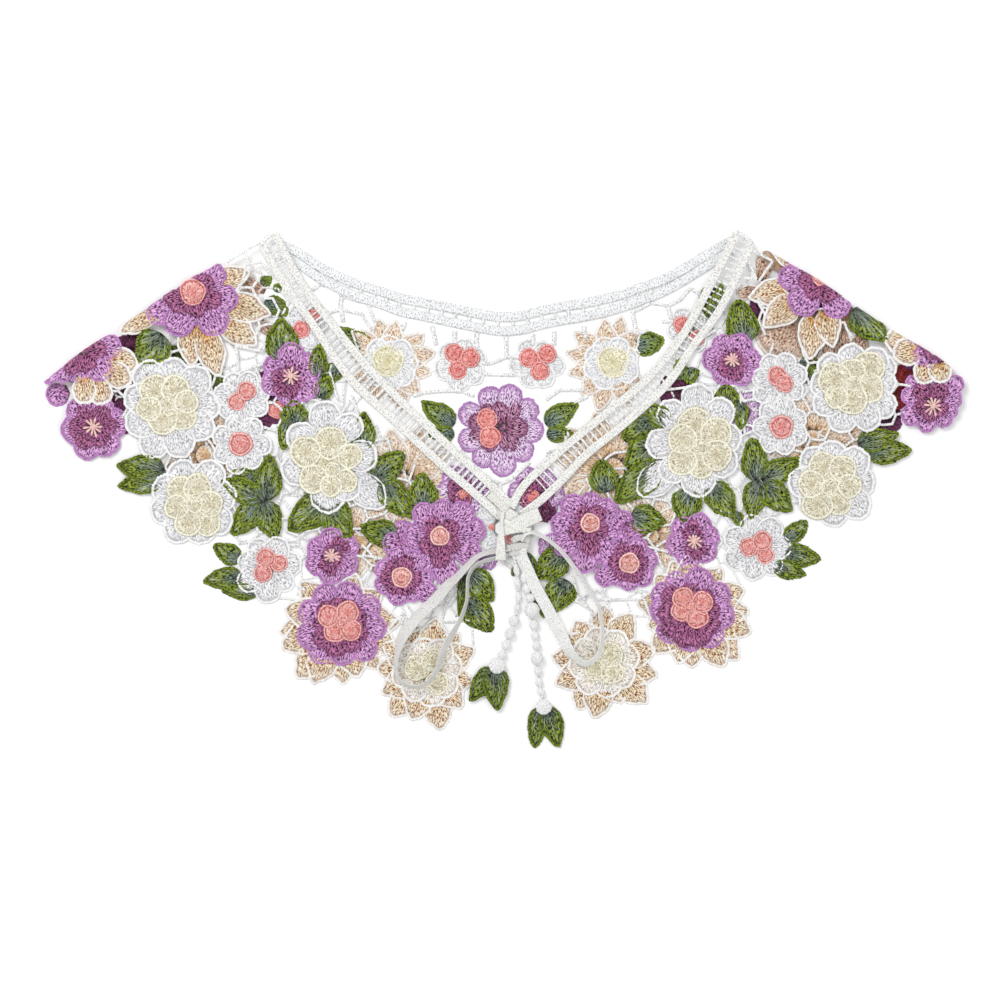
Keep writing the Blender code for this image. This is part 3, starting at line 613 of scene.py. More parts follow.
def bar(piece, a, b, width=1.9, thick=0.9, layer="front", height=-0.5, bow=0.0):
    """A short stitched bar between two chart places."""
    ax, ay = at(*a)
    bx, by = at(*b)
    run = math.hypot(bx - ax, by - ay)
    mx, my = (ax + bx) / 2 - (by - ay) / run * bow, (ay + by) / 2 + (bx - ax) / run * bow
    band(piece, [(ax, ay), (mx, my), (bx, by)], width, thick, layer, height=height, step=max(1.1, run / 11), rib=0.10, n=6, square=0.9)


def net(piece, poly, cell, layer, height, seed=77, width=1.8, thick=0.8):
    """Hexagonal bars over a region, uneven as worked lace is, left out where motifs cover them."""
    xs, ys = poly[:, 0], poly[:, 1]
    nx = int((xs.max() - xs.min()) / (cell * 1.5)) + 3
    ny = int((ys.max() - ys.min()) / (cell * 0.866)) + 3
    ox, oy = xs.min() - cell, ys.min() - cell
    local = np.random.default_rng(seed)
    nodes = {}
    for i in range(nx):
        for j in range(ny):
            x = ox + 1.5 * cell * i + (0.5 * cell if (i + j) % 2 else 0.0)
            y = oy + 0.866 * cell * j
            nodes[(i, j)] = (x + local.uniform(-0.22, 0.22) * cell, y + local.uniform(-0.22, 0.22) * cell)
    edges = []
    for i in range(nx):
        for j in range(ny - 1):
            edges.append(((i, j), (i, j + 1)))
            if (i + j) % 2 == 1 and i + 1 < nx:
                edges.append(((i, j), (i + 1, j)))
    pts = np.array([nodes[k] for k in nodes])
    ok = inside(pts[:, 0], pts[:, 1], poly) & (poly_distance(pts[:, 0], pts[:, 1], poly) > 1.5)
    good = {k for k, g in zip(nodes, ok) if g}
    kept = [(a, b) for a, b in edges if a in good and b in good]
    ends = np.array([[nodes[a], nodes[b]] for a, b in kept])
    hidden = np.ones(len(kept), bool)
    for t in (0.0, 0.25, 0.5, 0.75, 1.0):
        q = ends[:, 0] * (1 - t) + ends[:, 1] * t
        hidden &= covered(q[:, 0], q[:, 1], layer)
    for (a, b), gone in zip(kept, hidden):
        if gone:
            continue
        (ax, ay), (bx, by) = nodes[a], nodes[b]
        run = math.hypot(bx - ax, by - ay)
        if run < 1:
            continue
        ex, ey = (bx - ax) / run, (by - ay) / run
        bow = local.uniform(-0.07, 0.07) * run
        mx, my = (ax + bx) / 2 - ey * bow, (ay + by) / 2 + ex * bow
        band(piece, [(ax - ex * 0.5, ay - ey * 0.5), (mx, my), (bx + ex * 0.5, by + ey * 0.5)], width, thick, layer, height=height,
             step=1.5, rib=0.10, n=6, square=0.9)


# ---------------------------------------------------------------- materials
def thread_material(name, roughness=0.62, sheen=0.2, bump=0.5, across=13.0, along=4.6, low=0.37, high=0.515, vary=0.09, speck=(0.655, 0.70), twist=0.09):
    """Embroidery thread: short stitches side by side with darker gaps between them painted in as shade, each stitch of
    its own tone, fine fibres, a few dark specks painted as shadow in deep holes, and a soft sheen."""
    mat = bpy.data.materials.new(name)
    mat.use_nodes = True
    nt = mat.node_tree
    make, link = nt.nodes.new, nt.links.new
    shader = nt.nodes["Principled BSDF"]
    shader.inputs["Roughness"].default_value = roughness
    shader.inputs["Sheen Weight"].default_value = sheen
    shader.inputs["Sheen Roughness"].default_value = 0.45
    shader.inputs["Specular IOR Level"].default_value = 0.3
    thread = make("ShaderNodeVertexColor")
    thread.layer_name = "thread_colour"
    gap = make("ShaderNodeVertexColor")
    gap.layer_name = "gap_colour"
    uv = make("ShaderNodeUVMap")
    uv.uv_map = "thread"
    drift = make("ShaderNodeTexNoise")
    drift.noise_dimensions = "2D"
    drift.inputs["Scale"].default_value = 2.2
    drift.inputs["Detail"].default_value = 1.0
    link(uv.outputs["UV"], drift.inputs["Vector"])
    scaled = make("ShaderNodeVectorMath")
    scaled.operation = "SCALE"
    scaled.inputs["Scale"].default_value = twist
    link(drift.outputs["Color"], scaled.inputs[0])
    moved = make("ShaderNodeVectorMath")
    moved.operation = "ADD"
    link(uv.outputs["UV"], moved.inputs[0])
    link(scaled.outputs["Vector"], moved.inputs[1])

    def stretched(scale_u, scale_v):
        stretch = make("ShaderNodeMapping")
        stretch.inputs["Scale"].default_value = (scale_u, scale_v, 1.0)
        link(moved.outputs["Vector"], stretch.inputs["Vector"])
        return stretch.outputs["Vector"]

    def noise(scale_u, scale_v, detail, rough):
        node = make("ShaderNodeTexNoise")
        node.noise_dimensions = "2D"
        node.inputs["Scale"].default_value = 1.0
        node.inputs["Detail"].default_value = detail
        node.inputs["Roughness"].default_value = rough
        link(stretched(scale_u, scale_v), node.inputs["Vector"])
        return node.outputs["Fac"]

    def ranged(source, a, b, c, d):
        node = make("ShaderNodeMapRange")
        for key, value in (("From Min", a), ("From Max", b), ("To Min", c), ("To Max", d)):
            node.inputs[key].default_value = value
        link(source, node.inputs["Value"])
        return node.outputs["Result"]

    def maths(kind, a, b):
        node = make("ShaderNodeMath")
        node.operation = kind
        for k, value in enumerate((a, b)):
            if isinstance(value, float):
                node.inputs[k].default_value = value
            else:
                link(value, node.inputs[k])
        return node.outputs["Value"]

    def mixed(kind, factor, a, b):
        node = make("ShaderNodeMix")
        node.data_type = "RGBA"
        node.blend_type = kind
        if isinstance(factor, float):
            node.inputs[0].default_value = factor
        else:
            link(factor, node.inputs[0])
        for key, value in ((6, a), (7, b)):
            if isinstance(value, tuple):
                node.inputs[key].default_value = value
            else:
                link(value, node.inputs[key])
        return node.outputs[2]

    stitch = noise(across, along, 1.3, 0.5)
    fibre = noise(across * 2.3, along * 2.0, 1.0, 0.5)
    tone = noise(1.1, 1.1, 2.0, 0.5)
    hole = ranged(noise(across * 0.8, along * 1.2, 1.0, 0.5), speck[0], speck[1], 0.0, 1.0)
    level = maths("ADD", maths("MULTIPLY", gap.outputs["Alpha"], high - low), low)
    inner = make("ShaderNodeMath")
    inner.operation = "MULTIPLY"
    inner.use_clamp = True
    link(maths("SUBTRACT", level, stitch), inner.inputs[0])
    inner.inputs[1].default_value = 34.0
    strength = make("ShaderNodeMath")
    strength.operation = "MULTIPLY"
    strength.use_clamp = True
    link(gap.outputs["Alpha"], strength.inputs[0])
    strength.inputs[1].default_value = 1.25
    factor = maths("MULTIPLY", inner.outputs["Value"], strength.outputs["Value"])
    bright = ranged(fibre, 0.3, 0.7, 1.0 - vary, 1.0 + vary * 0.6)
    bright = maths("MULTIPLY", bright, ranged(tone, 0.3, 0.7, 0.95, 1.03))
    lit = mixed("MULTIPLY", 1.0, thread.outputs["Color"], bright)
    # painted shade: the gap colour shows between the stitches (for the tan, the brown beneath), and darkened to 0.16 it
    # marks a few deep holes as painted shadow
    stitched = mixed("MIX", factor, lit, gap.outputs["Color"])
    deep = mixed("MULTIPLY", 1.0, gap.outputs["Color"], (0.16, 0.15, 0.16, 1.0))
    link(mixed("MIX", maths("MULTIPLY", maths("MULTIPLY", hole, gap.outputs["Alpha"]), 0.8), stitched, deep), shader.inputs["Base Color"])
    height = maths("SUBTRACT", maths("MULTIPLY", fibre, 0.4), factor)
    bumper = make("ShaderNodeBump")
    bumper.inputs["Strength"].default_value = bump
    bumper.inputs["Distance"].default_value = 0.0004
    link(height, bumper.inputs["Height"])
    link(bumper.outputs["Normal"], shader.inputs["Normal"])
    return mat


MAT_THREAD = thread_material("embroidery_thread")
MAT_WHITE = thread_material("white_cord", roughness=0.7, sheen=0.15, bump=0.35, across=12.0, along=7.0, low=0.36, high=0.50, vary=0.04, speck=(0.74, 0.78))
MAT_RIBBON = thread_material("satin_ribbon", roughness=0.5, sheen=0.2, bump=0.2, across=15.0, along=11.0, low=0.30, high=0.42, vary=0.03, speck=(0.72, 0.76))

# ---------------------------------------------------------------- camera, floor and light
cam_data = bpy.data.cameras.new("view")
cam_data.lens = 100.0
cam_data.sensor_width = 36.0
cam = bpy.data.objects.new("view", cam_data)
aim_x, aim_y = at(500.0, 500.0)
cam.location = (aim_x * MM, aim_y * MM, 1.8056)
cam.rotation_euler = (0.0, 0.0, 0.0)
cam_data.clip_end = 20.0
bpy.context.scene.collection.objects.link(cam)
bpy.context.scene.camera = cam

floor_mesh = bpy.data.meshes.new("floor")
floor_mesh.from_pydata([(-3, -3, 0), (3, -3, 0), (3, 3, 0), (-3, 3, 0)], [], [(0, 1, 2, 3)])
floor = bpy.data.objects.new("floor", floor_mesh)
bpy.context.scene.collection.objects.link(floor)
floor_mat = bpy.data.materials.new("paper")
floor_mat.use_nodes = True
floor_mat.node_tree.nodes["Principled BSDF"].inputs["Base Color"].default_value = (0.93, 0.93, 0.93, 1)
floor_mat.node_tree.nodes["Principled BSDF"].inputs["Roughness"].default_value = 0.9
floor_mat.node_tree.nodes["Principled BSDF"].inputs["Specular IOR Level"].default_value = 0.1
floor_mat.node_tree.nodes["Principled BSDF"].inputs["Emission Color"].default_value = (1, 1, 1, 1)
floor_mat.node_tree.nodes["Principled BSDF"].inputs["Emission Strength"].default_value = 0.10
floor_mesh.materials.append(floor_mat)

world = bpy.data.worlds.new("studio")
world.use_nodes = True
world.node_tree.nodes["Background"].inputs["Color"].default_value = (1, 1, 1, 1)
world.node_tree.nodes["Background"].inputs["Strength"].default_value = 0.64
bpy.context.scene.world = world
bpy.context.scene.view_settings.view_transform = "Standard"


def area_light(name, place_m, aim_m, size, watts):
    from mathutils import Vector
    data = bpy.data.lights.new(name, "AREA")
    data.shape = "SQUARE"
    data.size = size
    data.energy = watts
    light = bpy.data.objects.new(name, data)
    light.location = place_m
    light.rotation_euler = (Vector(aim_m) - Vector(place_m)).to_track_quat("-Z", "Y").to_euler()
    bpy.context.scene.collection.objects.link(light)


area_light("key", (-0.9, 1.1, 1.7), (0, 0, 0), 0.9, 22.0)
area_light("fill", (1.3, -0.6, 1.6), (0, 0, 0), 1.4, 7.0)


# ---------------------------------------------------------------- knot, strap, loops, strings
def flat_route(rows):
    return [(*at(u, v), z) for u, v, z in rows]


# Each loop's middle line: place, height (mm) and how wide it shows (chart units).
RIBBON = 8.0
LOOP = {
    "left": [(511, 548, 3.9, 6), (497, 551, 4.3, 5), (488, 552.5, 5.6, 5), (478, 556, 6.4, 6), (469, 564, 6.4, 6.5), (457, 577, 6.2, 8), (448, 585, 5.8, 9.5),
             (435, 600, 5.4, 11.5), (424, 610.5, 5.4, 11), (413, 622, 5.4, 11.5), (404.5, 633.5, 5.6, 11), (400, 643.5, 6.2, 9), (397, 655.5, 6.8, 6), (396, 668, 7.2, 4.4),
             (399, 678, 7.0, 4.6), (406, 684, 6.8, 5), (418, 686.5, 6.8, 4.8), (429, 681, 6.6, 5.5), (437, 670, 6.4, 6), (441.5, 656, 6.4, 6.5), (446, 645, 6.4, 7),
             (451, 636, 6.4, 7), (458, 624, 7.0, 5.5), (463, 613, 7.2, 4.6), (467, 600, 7.4, 4), (467.7, 588, 7.4, 4), (468.5, 577, 7.2, 4), (474, 567, 6.6, 4.4),
             (484, 561, 5.4, 4.4), (496, 558, 4.2, 5), (508, 555, 3.9, 6)],
    "right": [(521, 548, 5.6, 11), (521.5, 556, 5.0, 12.3), (528, 571, 4.6, 12.3), (536, 588, 4.4, 12.3), (544, 602, 4.4, 12.3), (552, 617, 4.6, 12.3), (562, 636, 5.0, 12), (569, 650, 5.6, 10),
              (576, 658, 6.0, 8), (585, 663, 6.4, 7), (594, 659, 6.6, 7), (600, 650, 6.8, 6), (602, 637, 6.8, 5), (601, 620, 6.8, 5), (598, 606, 6.8, 5), (590, 592, 6.8, 6),
              (582, 579, 6.8, 6), (573, 566, 7.0, 5), (563, 553, 7.0, 5), (553, 543.5, 7.0, 4.6), (543, 536.5, 6.8, 4.6), (532, 532, 6.4, 4.6), (524, 534.5, 5.8, 5), (520.5, 541, 5.0, 5.4)],
}
loops, strings, caps_p, tassels, beads_p = {}, {}, {}, {}, {}
for side, rows in LOOP.items():
    loops[side] = Piece("ribbon_loop_" + side)
    route = flat_route([r[:3] for r in rows])
    line = catmull([(*r[:3],) for r in route], 1.0)
    seen = [min((r[3] if r[3] > 9 else r[3] - 1.0) * UNIT, RIBBON * 0.985) for r in rows]
    # where it shows narrow, the ribbon is turned on its side and folded closer together
    real = [RIBBON if s > 4.2 else max(RIBBON * 0.66, s) for s in seen]
    roll = [math.degrees(math.acos(min(1.0, s / r))) for s, r in zip(seen, real)]
    sign = 1 if side == "left" else 1
    stations = np.cumsum([0] + [math.dist(a[:2], b[:2]) for a, b in zip(route, route[1:])])
    even = np.linspace(0, stations[-1], 60)
    wide = np.interp(even, stations, real)
    turn = np.interp(even, stations, roll) * sign
    # the left loop gets a greyer copy of the same ribbon's colour as painted shade
    band(loops[side], route, RIBBON, 0.55, "world", step=0.9, rib=0.02, n=12, world=True, wide=wide, roll=turn,
         colour=(224, 223, 220) if side == "left" else (242, 243, 240), gap_c=RIBBON_GAP, amount=0.7, edge=1.06, square=0.35)
    loops[side].path = [(x * MM, y * MM, z * MM) for x, y, z in catmull(route, 4.0)]

STRINGS = {
    "left": ([(513, 552, 4.2), (515, 562, 4.2), (517, 574, 3.4), (518, 586, 2.6), (518, 598, 2.2), (517, 608, 2.2), (514, 621, 2.6), (510, 634, 2.6), (506, 645, 2.4), (502, 655, 2.2), (499, 660, 2.6)],
             [(516.5, 570, 3.2, 2.0), (517.5, 584, 3.4, 2.0), (518.5, 597, 3.2, 1.3), (517, 608, 3.3, 1.3), (514, 621, 5.6, 1), (509.8, 633.5, 5.6, 1), (506, 645, 5.0, 1.0), (502, 655, 4.8, 1)]),
    "right": ([(520, 552, 4.2), (522, 564, 4.2), (524, 577, 3.2), (527, 590, 2.6), (530, 598, 2.6), (532, 610, 3.4), (534, 625, 2.6), (535, 636, 2.4), (536.5, 646, 2.4), (537, 658, 2.8), (538, 671, 2.4), (539, 681, 2.2), (541, 691, 2.2), (543, 700, 2.6)],
              [(524, 578, 3.6, 1.5), (526.5, 589, 4.6, 1.1), (530, 598, 4.9, 1.0), (532, 610, 7.9, 1), (534, 625, 5.0, 1.05), (535, 636, 4.5, 1), (536.5, 646, 4.5, 1), (537, 658, 6.8, 1.0), (538, 671, 4.4, 1.1), (539, 682, 4.0, 1.15), (541.2, 692, 4.0, 1.1)]),
}


def bead(piece, u, v, r, z, stretch=1.0, flat=0.8, turn=0.0, lumps=0.06):
    """A padded bead of thread, stitched over across its string."""
    x0, y0 = at(u, v)
    r = r * UNIT
    cols, rows = (20, 11) if r > 2 else (14, 9)
    pts = np.zeros((cols, rows, 3))
    rgb = np.zeros((cols, rows, 3))
    gaps = np.zeros((cols, rows, 4))
    uvs = np.zeros((cols, rows, 2))
    ang = np.linspace(0, 2 * math.pi, cols, endpoint=False)
    ct, st = math.cos(turn), math.sin(turn)
    gaps[:, :, :3] = CORD_GAP
    gaps[:, :, 3] = 0.55
    off = rng.uniform(0, 60)
    for k in range(rows):
        lat = math.pi * (k + 0.3) / (rows - 0.4) - math.pi / 2
        rr = math.cos(lat) * r * (1 + rng.uniform(-lumps, lumps, cols)) * (1.0 if k % 2 else 0.94)
        along = math.sin(lat) * r * stretch
        lx, ly, lz = rr * np.cos(ang), np.full(cols, along), rr * np.sin(ang) * flat
        pts[:, k, 0] = (x0 + lx * ct - ly * st) * MM
        pts[:, k, 1] = (y0 + lx * st + ly * ct) * MM
        pts[:, k, 2] = np.maximum(z + lz, 0.05) * MM
        # the two end rows are darkened to 0.86 as painted shade where the bead turns into its string, over a random
        # tone
        rgb[:, k] = lin(254, 254, 254) * rng.uniform(0.92, 1.0, cols)[:, None] * (0.86 if k in (0, rows - 1) else 1.0)
        uvs[:, k, 0] = (k + 0.5) * r * 0.3 / 10 * 4 + off
        uvs[:, k, 1] = ang * r / 10
    piece.grid(pts, rgb, gaps, uvs, closed_rows=False, closed_cols=True, caps=False)
    last = piece.faces[-1][0]
    last.append([i * rows + rows - 1 for i in range(cols)])
    last.append([i * rows for i in range(cols)][::-1])


CAP = {"left": (497, 665.5, 8.6), "right": (543.5, 706.5, 8.4)}
LEAFY = {
    "left": (((494, 668), (470, 701), 11.5), ((495, 667), (497, 710), 13.5)),
    "right": (((541, 707), (534, 748.5), 11), ((546, 707), (559, 747), 12.5)),
}
for side, (rows, beads) in STRINGS.items():
    p = strings[side] = Piece("beaded_string_" + side)
    route = flat_route(rows)
    band(p, route, 2.2, 1.7, "world", step=0.9, rib=0.06, n=8, world=True, square=1.0, amount=0.7)
    line = catmull(route, 1.0)
    beads_p[side] = []
    for k, (u, v, r, stretch) in enumerate(beads):
        x, y = at(u, v)
        j = int(np.argmin(np.hypot(line[:, 0] - x, line[:, 1] - y)))
        t = line[min(j + 2, len(line) - 1)] - line[max(j - 2, 0)]
        q = Piece(f"thread_bead_{side}_{k + 1}")
        bead(q, u, v, r, max(line[j, 2], r * UNIT * 0.8), stretch, turn=math.atan2(t[1], t[0]) - math.pi / 2)
        beads_p[side].append(q)
    strings[side].path = [(x * MM, y * MM, z * MM) for x, y, z in catmull(route, 4.0)]
    u, v, r = CAP[side]
    p = caps_p[side] = Piece("string_cap_" + side)
    bead(p, u, v, r, 3.1, 0.95, flat=0.56)
    for k in range(10):
        a = 2 * math.pi * k / 10
        bead(p, u + 0.66 * r * math.cos(a), v + 0.66 * r * math.sin(a), 2.5, 4.0, 1.0, flat=0.9, turn=a)
    for k in range(5):
        a = 2 * math.pi * k / 5 + 0.4
        bead(p, u + 0.27 * r * math.cos(a), v + 0.27 * r * math.sin(a), 2.1, 4.9, 1.0, flat=0.9, turn=a)
    q = tassels[side] = Piece("tassel_leaves_" + side)
    for k, ((bu, bv), (tu, tv), half) in enumerate(LEAFY[side]):
        leaf(q, bu, bv, tu, tv, half, layer="floor", low=(2.2 if side == "left" else 0.7) + 0.75 * k, scheme="leaf_tassel", blue=0.5, cover=False)

knot = Piece("tie_knot_wraps")
SOFT = dict(step=0.8, rib=0.03, n=12, world=True, square=0.4, colour=(240, 240, 235), gap_c=RIBBON_GAP, amount=0.7, edge=0.86)
# the sheer fabric under the knot, the strip that ends by it and the loop's end behind
SHEER = dict(SOFT, colour=(236, 235, 228), amount=0.8)
band(knot, flat_route([(501, 509, 3.2), (506, 515, 3.9), (512, 521, 4.3), (519, 528, 4.3)]), 12.0, 0.7, "world", wide=[8.0, 11.5, 12.0, 10.0], **SHEER)
band(knot, flat_route([(540, 514, 4.6), (528, 519, 5.6), (514, 526, 5.8), (504, 531, 4.8)]), 9.0, 0.9, "world", wide=[9.0, 9.6, 9.0, 6.4], **SOFT)
band(knot, flat_route([(489, 494, 3.4), (498, 502, 3.7), (507, 511, 3.9)]), 5.6, 0.6, "world", **SHEER)
band(knot, flat_route([(503, 521, 4.8), (510, 524, 5.8), (518, 528, 6.3), (526, 531, 5.8)]), 3.6, 0.9, "world", **SOFT)
band(knot, flat_route([(506, 533, 4.6), (513, 531.5, 5.6), (522, 530, 6.2), (531, 529.5, 5.8)]), 2.6, 1.0, "world", **SOFT)
# greyer wraps of the same ribbon in the knot, painted shade in its folds
SHADED_WRAP = dict(SOFT, colour=(218, 217, 214), amount=0.9)
band(knot, flat_route([(512, 541.5, 4.4), (517, 538, 5.6), (523, 538, 5.8), (530, 541, 4.9)]), 4.2, 1.1, "world", **SHADED_WRAP)
band(knot, flat_route([(507, 549, 4.0), (514, 547, 5.2), (522, 546, 5.7), (529, 547, 4.8)]), 4.6, 1.1, "world", **SHADED_WRAP)
band(knot, flat_route([(508, 553, 3.6), (514, 553, 4.6), (521, 552, 4.9), (527, 553, 4.2)]), 3.8, 1.0, "world", **SHADED_WRAP)
strap = Piece("tie_strap_ribbon")
band(strap, flat_route([(503, 512, 5.2), (502, 520, 6.0), (501, 534, 6.2), (500.8, 548, 6.6), (500.6, 560, 6.1)]), 5.4, 0.7, "world", wide=[2.0, 2.4, 4.4, 6.0, 7.0], **SOFT)

# ---------------------------------------------------------------- the left front
left = Piece("front_left_flowers")
UPPER[left.name] = left_top = Piece("front_left_hearts")
# fold flower by the shoulder
toward(left, 194, 294, [(191, 367, 14), (219, 377, 14.5), (257, 346, 15), (271, 315, 15), (251, 271, 14), (120, 333, 10), (160, 228, 13)],
       14, 0.40, "tan", low=-0.7, crown=0.45, **dict(TAN_RIM))
toward(left, 194, 294, [(160, 313, 13), (180, 322, 15.5), (214, 321, 15.5), (226, 299, 13), (214, 276, 13), (190, 262, 13), (165, 275, 13)], 14, 0.18, "lilac", over=1.0, low=-0.2, crown=0.5, roundness=0.95, **FINE_RIM)
toward(left, 194, 294, [(213, 300, 10), (197, 308, 10), (180, 305, 9), (172, 298, 8), (206, 284, 9), (190, 278, 9)], 10, 0.10, "plum", over=1.0, low=0.5, crown=0.45, **NO_RIM)
dome(left, 194, 293, 13, "coral", 1.1, 0.7, rim=1.0)
# fold flower by the tip
toward(left, 86, 351, [(139, 367, 14), (131, 385, 13), (106, 405, 12.5), (85, 405, 12), (60, 330, 10)], 12, 0.42, "tan", low=-0.3, crown=0.45, **dict(TAN_RIM, shape="round", roundness=1.15, rim=2.2))
toward(left, 86, 351, [(111, 347, 12), (101, 369, 13), (84, 376, 9), (64, 374, 9), (50, 378, 7), (70, 340, 10), (95, 328, 10)], 11, 0.18, "lilac", over=1.0, low=-0.2, crown=0.5, roundness=0.95, **FINE_RIM)
toward(left, 86, 351, [(99, 350, 9), (87, 363, 10), (74, 366, 9), (80, 345, 9)], 9, 0.10, "plum", over=1.0, low=0.45, crown=0.45, **NO_RIM)
dome(left, 81, 344, 6, "coral", 1.0, 0.5)
white_big(left, 170, 408, 51, 5, cream=(-2, -3), petals=9, cream_r=0.52,
          circles=((156, 391, 14), (176, 390, 13), (187, 402, 11), (183, 417, 12.5), (163, 419, 14), (150, 409, 11)), eye=(168, 404, 8))
white_small(left, 243, 397, 29, 20, hearts=((237, 402, 9), (247, 391, 9.5)))
white_small(left, 241, 444, 30, 0, dome_r=12)
white_big(left, 192, 503, 46, 15, cream=(3, 3), petals=8, cream_r=0.55,
          circles=((181, 489, 11.5), (198, 488, 13), (210, 504, 12), (207, 522, 12.5), (188, 523, 12), (177, 507, 11)), eye=(195, 505, 8.5))
white_small(left, 268, 568, 34, 10, hearts=((279, 563, 9), (263, 573, 9.5), (266, 558, 10)))
toward(left, 327, 456, [(325, 416, 16), (301, 437, 15), (297, 470, 16), (328, 497, 17), (362, 456, 16), (350, 426, 14), (302, 454, 13), (347, 488, 14)], 15, 0.2, "white", over=1.0, low=-0.3, crown=0.55, roundness=0.95, **WHITE_RIM)
lobe(left, 335, 462, -42, 68, 20, 17, "white", low=-0.40, crown=0.6, shape="leaf", sweep=130, roundness=1.3, rim=1.7)
rosette(left, 327, 462, 30, 10, low=0.5, circles=((331, 443, 14), (306, 452, 14), (314, 479, 13), (350, 456, 11), (346, 481, 10.5), (331, 486, 10)), eye=(333, 470, 8))
lilac_flower(left, 94, 427, 33, 10, 6, plum=((0, 0),), plum_r=0.70, plum_n=6, eye="star", eye_r=8, low=-0.85)
lilac_flower(left, 291, 376, 32, 25, 6, plum=((-3, 7),), plum_r=0.52, plum_n=5, eye="star", eye_r=7)
lilac_flower(left, 332, 556, 29, 30, 6, plum=((6, -8), (-1, 7)), plum_r=0.45, plum_n=4, eye="star", eye_r=6.5)
ring(left, 402, 541, 3, 75, 2, 20, 12, "lilac", low=-0.5, **FINE_RIM)
dome(left, 402, 541, 12, "lilac", -0.6, 0.3, rim=0.5)
toward(left, 440, 538, [(442, 512, 13), (462, 514, 13), (473, 530, 13), (468, 552, 13), (446, 572, 13), (426, 560, 12), (415, 535, 12), (424, 514, 12)], 13, 0.18, "lilac", over=1.0, low=-0.15, crown=0.5, roundness=0.95, **FINE_RIM)
toward(left, 440, 537, [(430, 524, 9), (450, 528, 9), (452, 545, 9), (440, 558, 10), (428, 545, 9)], 9, 0.10, "plum", over=1.0, low=0.5, crown=0.45, **NO_RIM)
dome(left, 440, 536, 10, "peach", 1.1, 0.7, rim=1.4)
lilac_flower(left, 402, 577, 30, 0, 7, plum=((-2, 0),), plum_r=0.70, plum_n=6, eye="ring", eye_r=10.5, low=-0.1)
lobe(left, 405, 583, -22, 34, 8, 11, "lilac", low=-0.1, **FINE_RIM)
toward(left, 341, 622, [(300, 582), (284, 608), (279, 632), (281, 648), (297, 679), (313, 684), (343, 685), (359, 678), (379, 669), (397, 651), (401, 622), (382, 590), (356, 573)],
       15.5, 0.40, "tan", low=-0.7, crown=0.45, **dict(TAN_RIM, roundness=1.35))
toward(left, 341, 622, [(325, 594), (349, 592), (370, 606), (376, 628), (366, 650), (343, 655), (320, 653), (308, 637), (309, 612)], 13.5, 0.18, "lilac", over=0.8, low=-0.15, crown=0.5, roundness=0.95, **FINE_RIM)
toward(left, 340, 622, [(352, 608, 11), (361, 618, 10), (363, 634, 9), (352, 645, 12), (336, 650, 12), (321, 641, 11), (318, 627, 9), (324, 608, 10), (338, 603, 10)], 10, 0.10, "plum", over=0.6, low=0.5, crown=0.45, **NO_RIM)
dome(left, 340, 621, 15, "coral", 0.8, 0.4, rim=0.6)
for k, (hu, hv, hr) in enumerate(((335, 631, 11.5), (329, 616, 11.5), (351, 630, 11), (348, 612, 11.5))):
    dome(left, hu, hv, hr, "coral", 1.0 + 0.24 * k, 0.7, rim=1.2)
dome(left, 342.5, 621.5, 6, "coral", 2.1, 0.45, rim=0.8)
toward(left, 428, 671, [(409, 622), (437, 617), (459, 632), (475, 648), (474, 684), (463, 708), (442, 731), (412, 721), (390, 717), (381, 693), (376, 668), (383, 643)],
       15.0, 0.42, "tan", low=-0.7, crown=0.45, **dict(TAN_RIM, roundness=1.35))
ring(left, 427, 671, 8, 10, 8, 36, 14, "ivory", low=-0.2, crown=0.5, roundness=0.9, **WHITE_RIM)
for k, (hu, hv, hr) in enumerate(((437, 683, 12), (417, 668, 13), (433, 660, 12))):
    dome(left, hu, hv, hr, "cream", 0.5 + 0.2 * k, 0.6, rim=1.2)

left_leaves = Piece("front_left_leaves")
for row in (
    (163, 335, 140, 364, 19), (164, 470, 117, 466, 14), (162, 480, 118, 486, 12),
    (266, 500, 270, 455, 15), (262, 499, 221, 480, 13), (262, 502, 231, 535, 14), (264, 502, 276, 540, 14), (258, 480, 232, 470, 8),
    (240, 560, 213, 545, 11), (242, 577, 203, 581, 12), (257, 592, 222, 591, 9),
    (283, 360, 281, 318, 17), (318, 377, 319, 344, 10), (320, 398, 330, 376, 10), (296, 424, 292, 400, 14), (289, 421, 283, 450, 9),
    (330, 498, 288, 530, 18), (326, 502, 350, 538, 17),
    (362, 450, 364, 412, 13), (374, 480, 404, 452, 15), (382, 482, 412, 517, 15), (424, 508, 422, 473, 15), (397, 537, 360, 527, 14),
    (469, 572, 493, 601, 15), (466, 600, 493, 631, 16), (464, 574, 459, 617, 5),
):
    leaf(left_leaves, *row)

# ---------------------------------------------------------------- the right front
right = Piece("front_right_flowers")
UPPER[right.name] = right_top = Piece("front_right_hearts")
toward(right, 818, 283, [(748, 298, 14), (762, 327, 15), (809, 360, 15), (832, 348, 13), (770, 240, 12), (850, 240, 12), (880, 290, 12)], 14, 0.40, "tan", low=-0.7, crown=0.45, **dict(TAN_RIM))
toward(right, 818, 283, [(789, 278, 12), (803, 301, 16), (836, 305, 14), (800, 262, 12), (840, 270, 12), (824, 255, 12)], 14, 0.16, "lilac", over=1.0, low=-0.2, crown=0.5, roundness=0.95, **FINE_RIM)
toward(right, 818, 283, [(806, 282, 9), (812, 291, 9), (826, 295, 9), (835, 290, 8), (810, 272, 9)], 9, 0.10, "plum", over=1.0, low=0.5, crown=0.45, **NO_RIM)
dome(right, 819, 279, 8, "coral", 1.0, 0.5)
toward(right, 935, 350, [(884, 337, 16), (891, 353, 14), (918, 384, 12), (941, 384, 12.5), (900, 318, 12)], 12, 0.38, "tan", low=-0.3, crown=0.45, **dict(TAN_RIM, shape="round", roundness=1.15, rim=2.2))
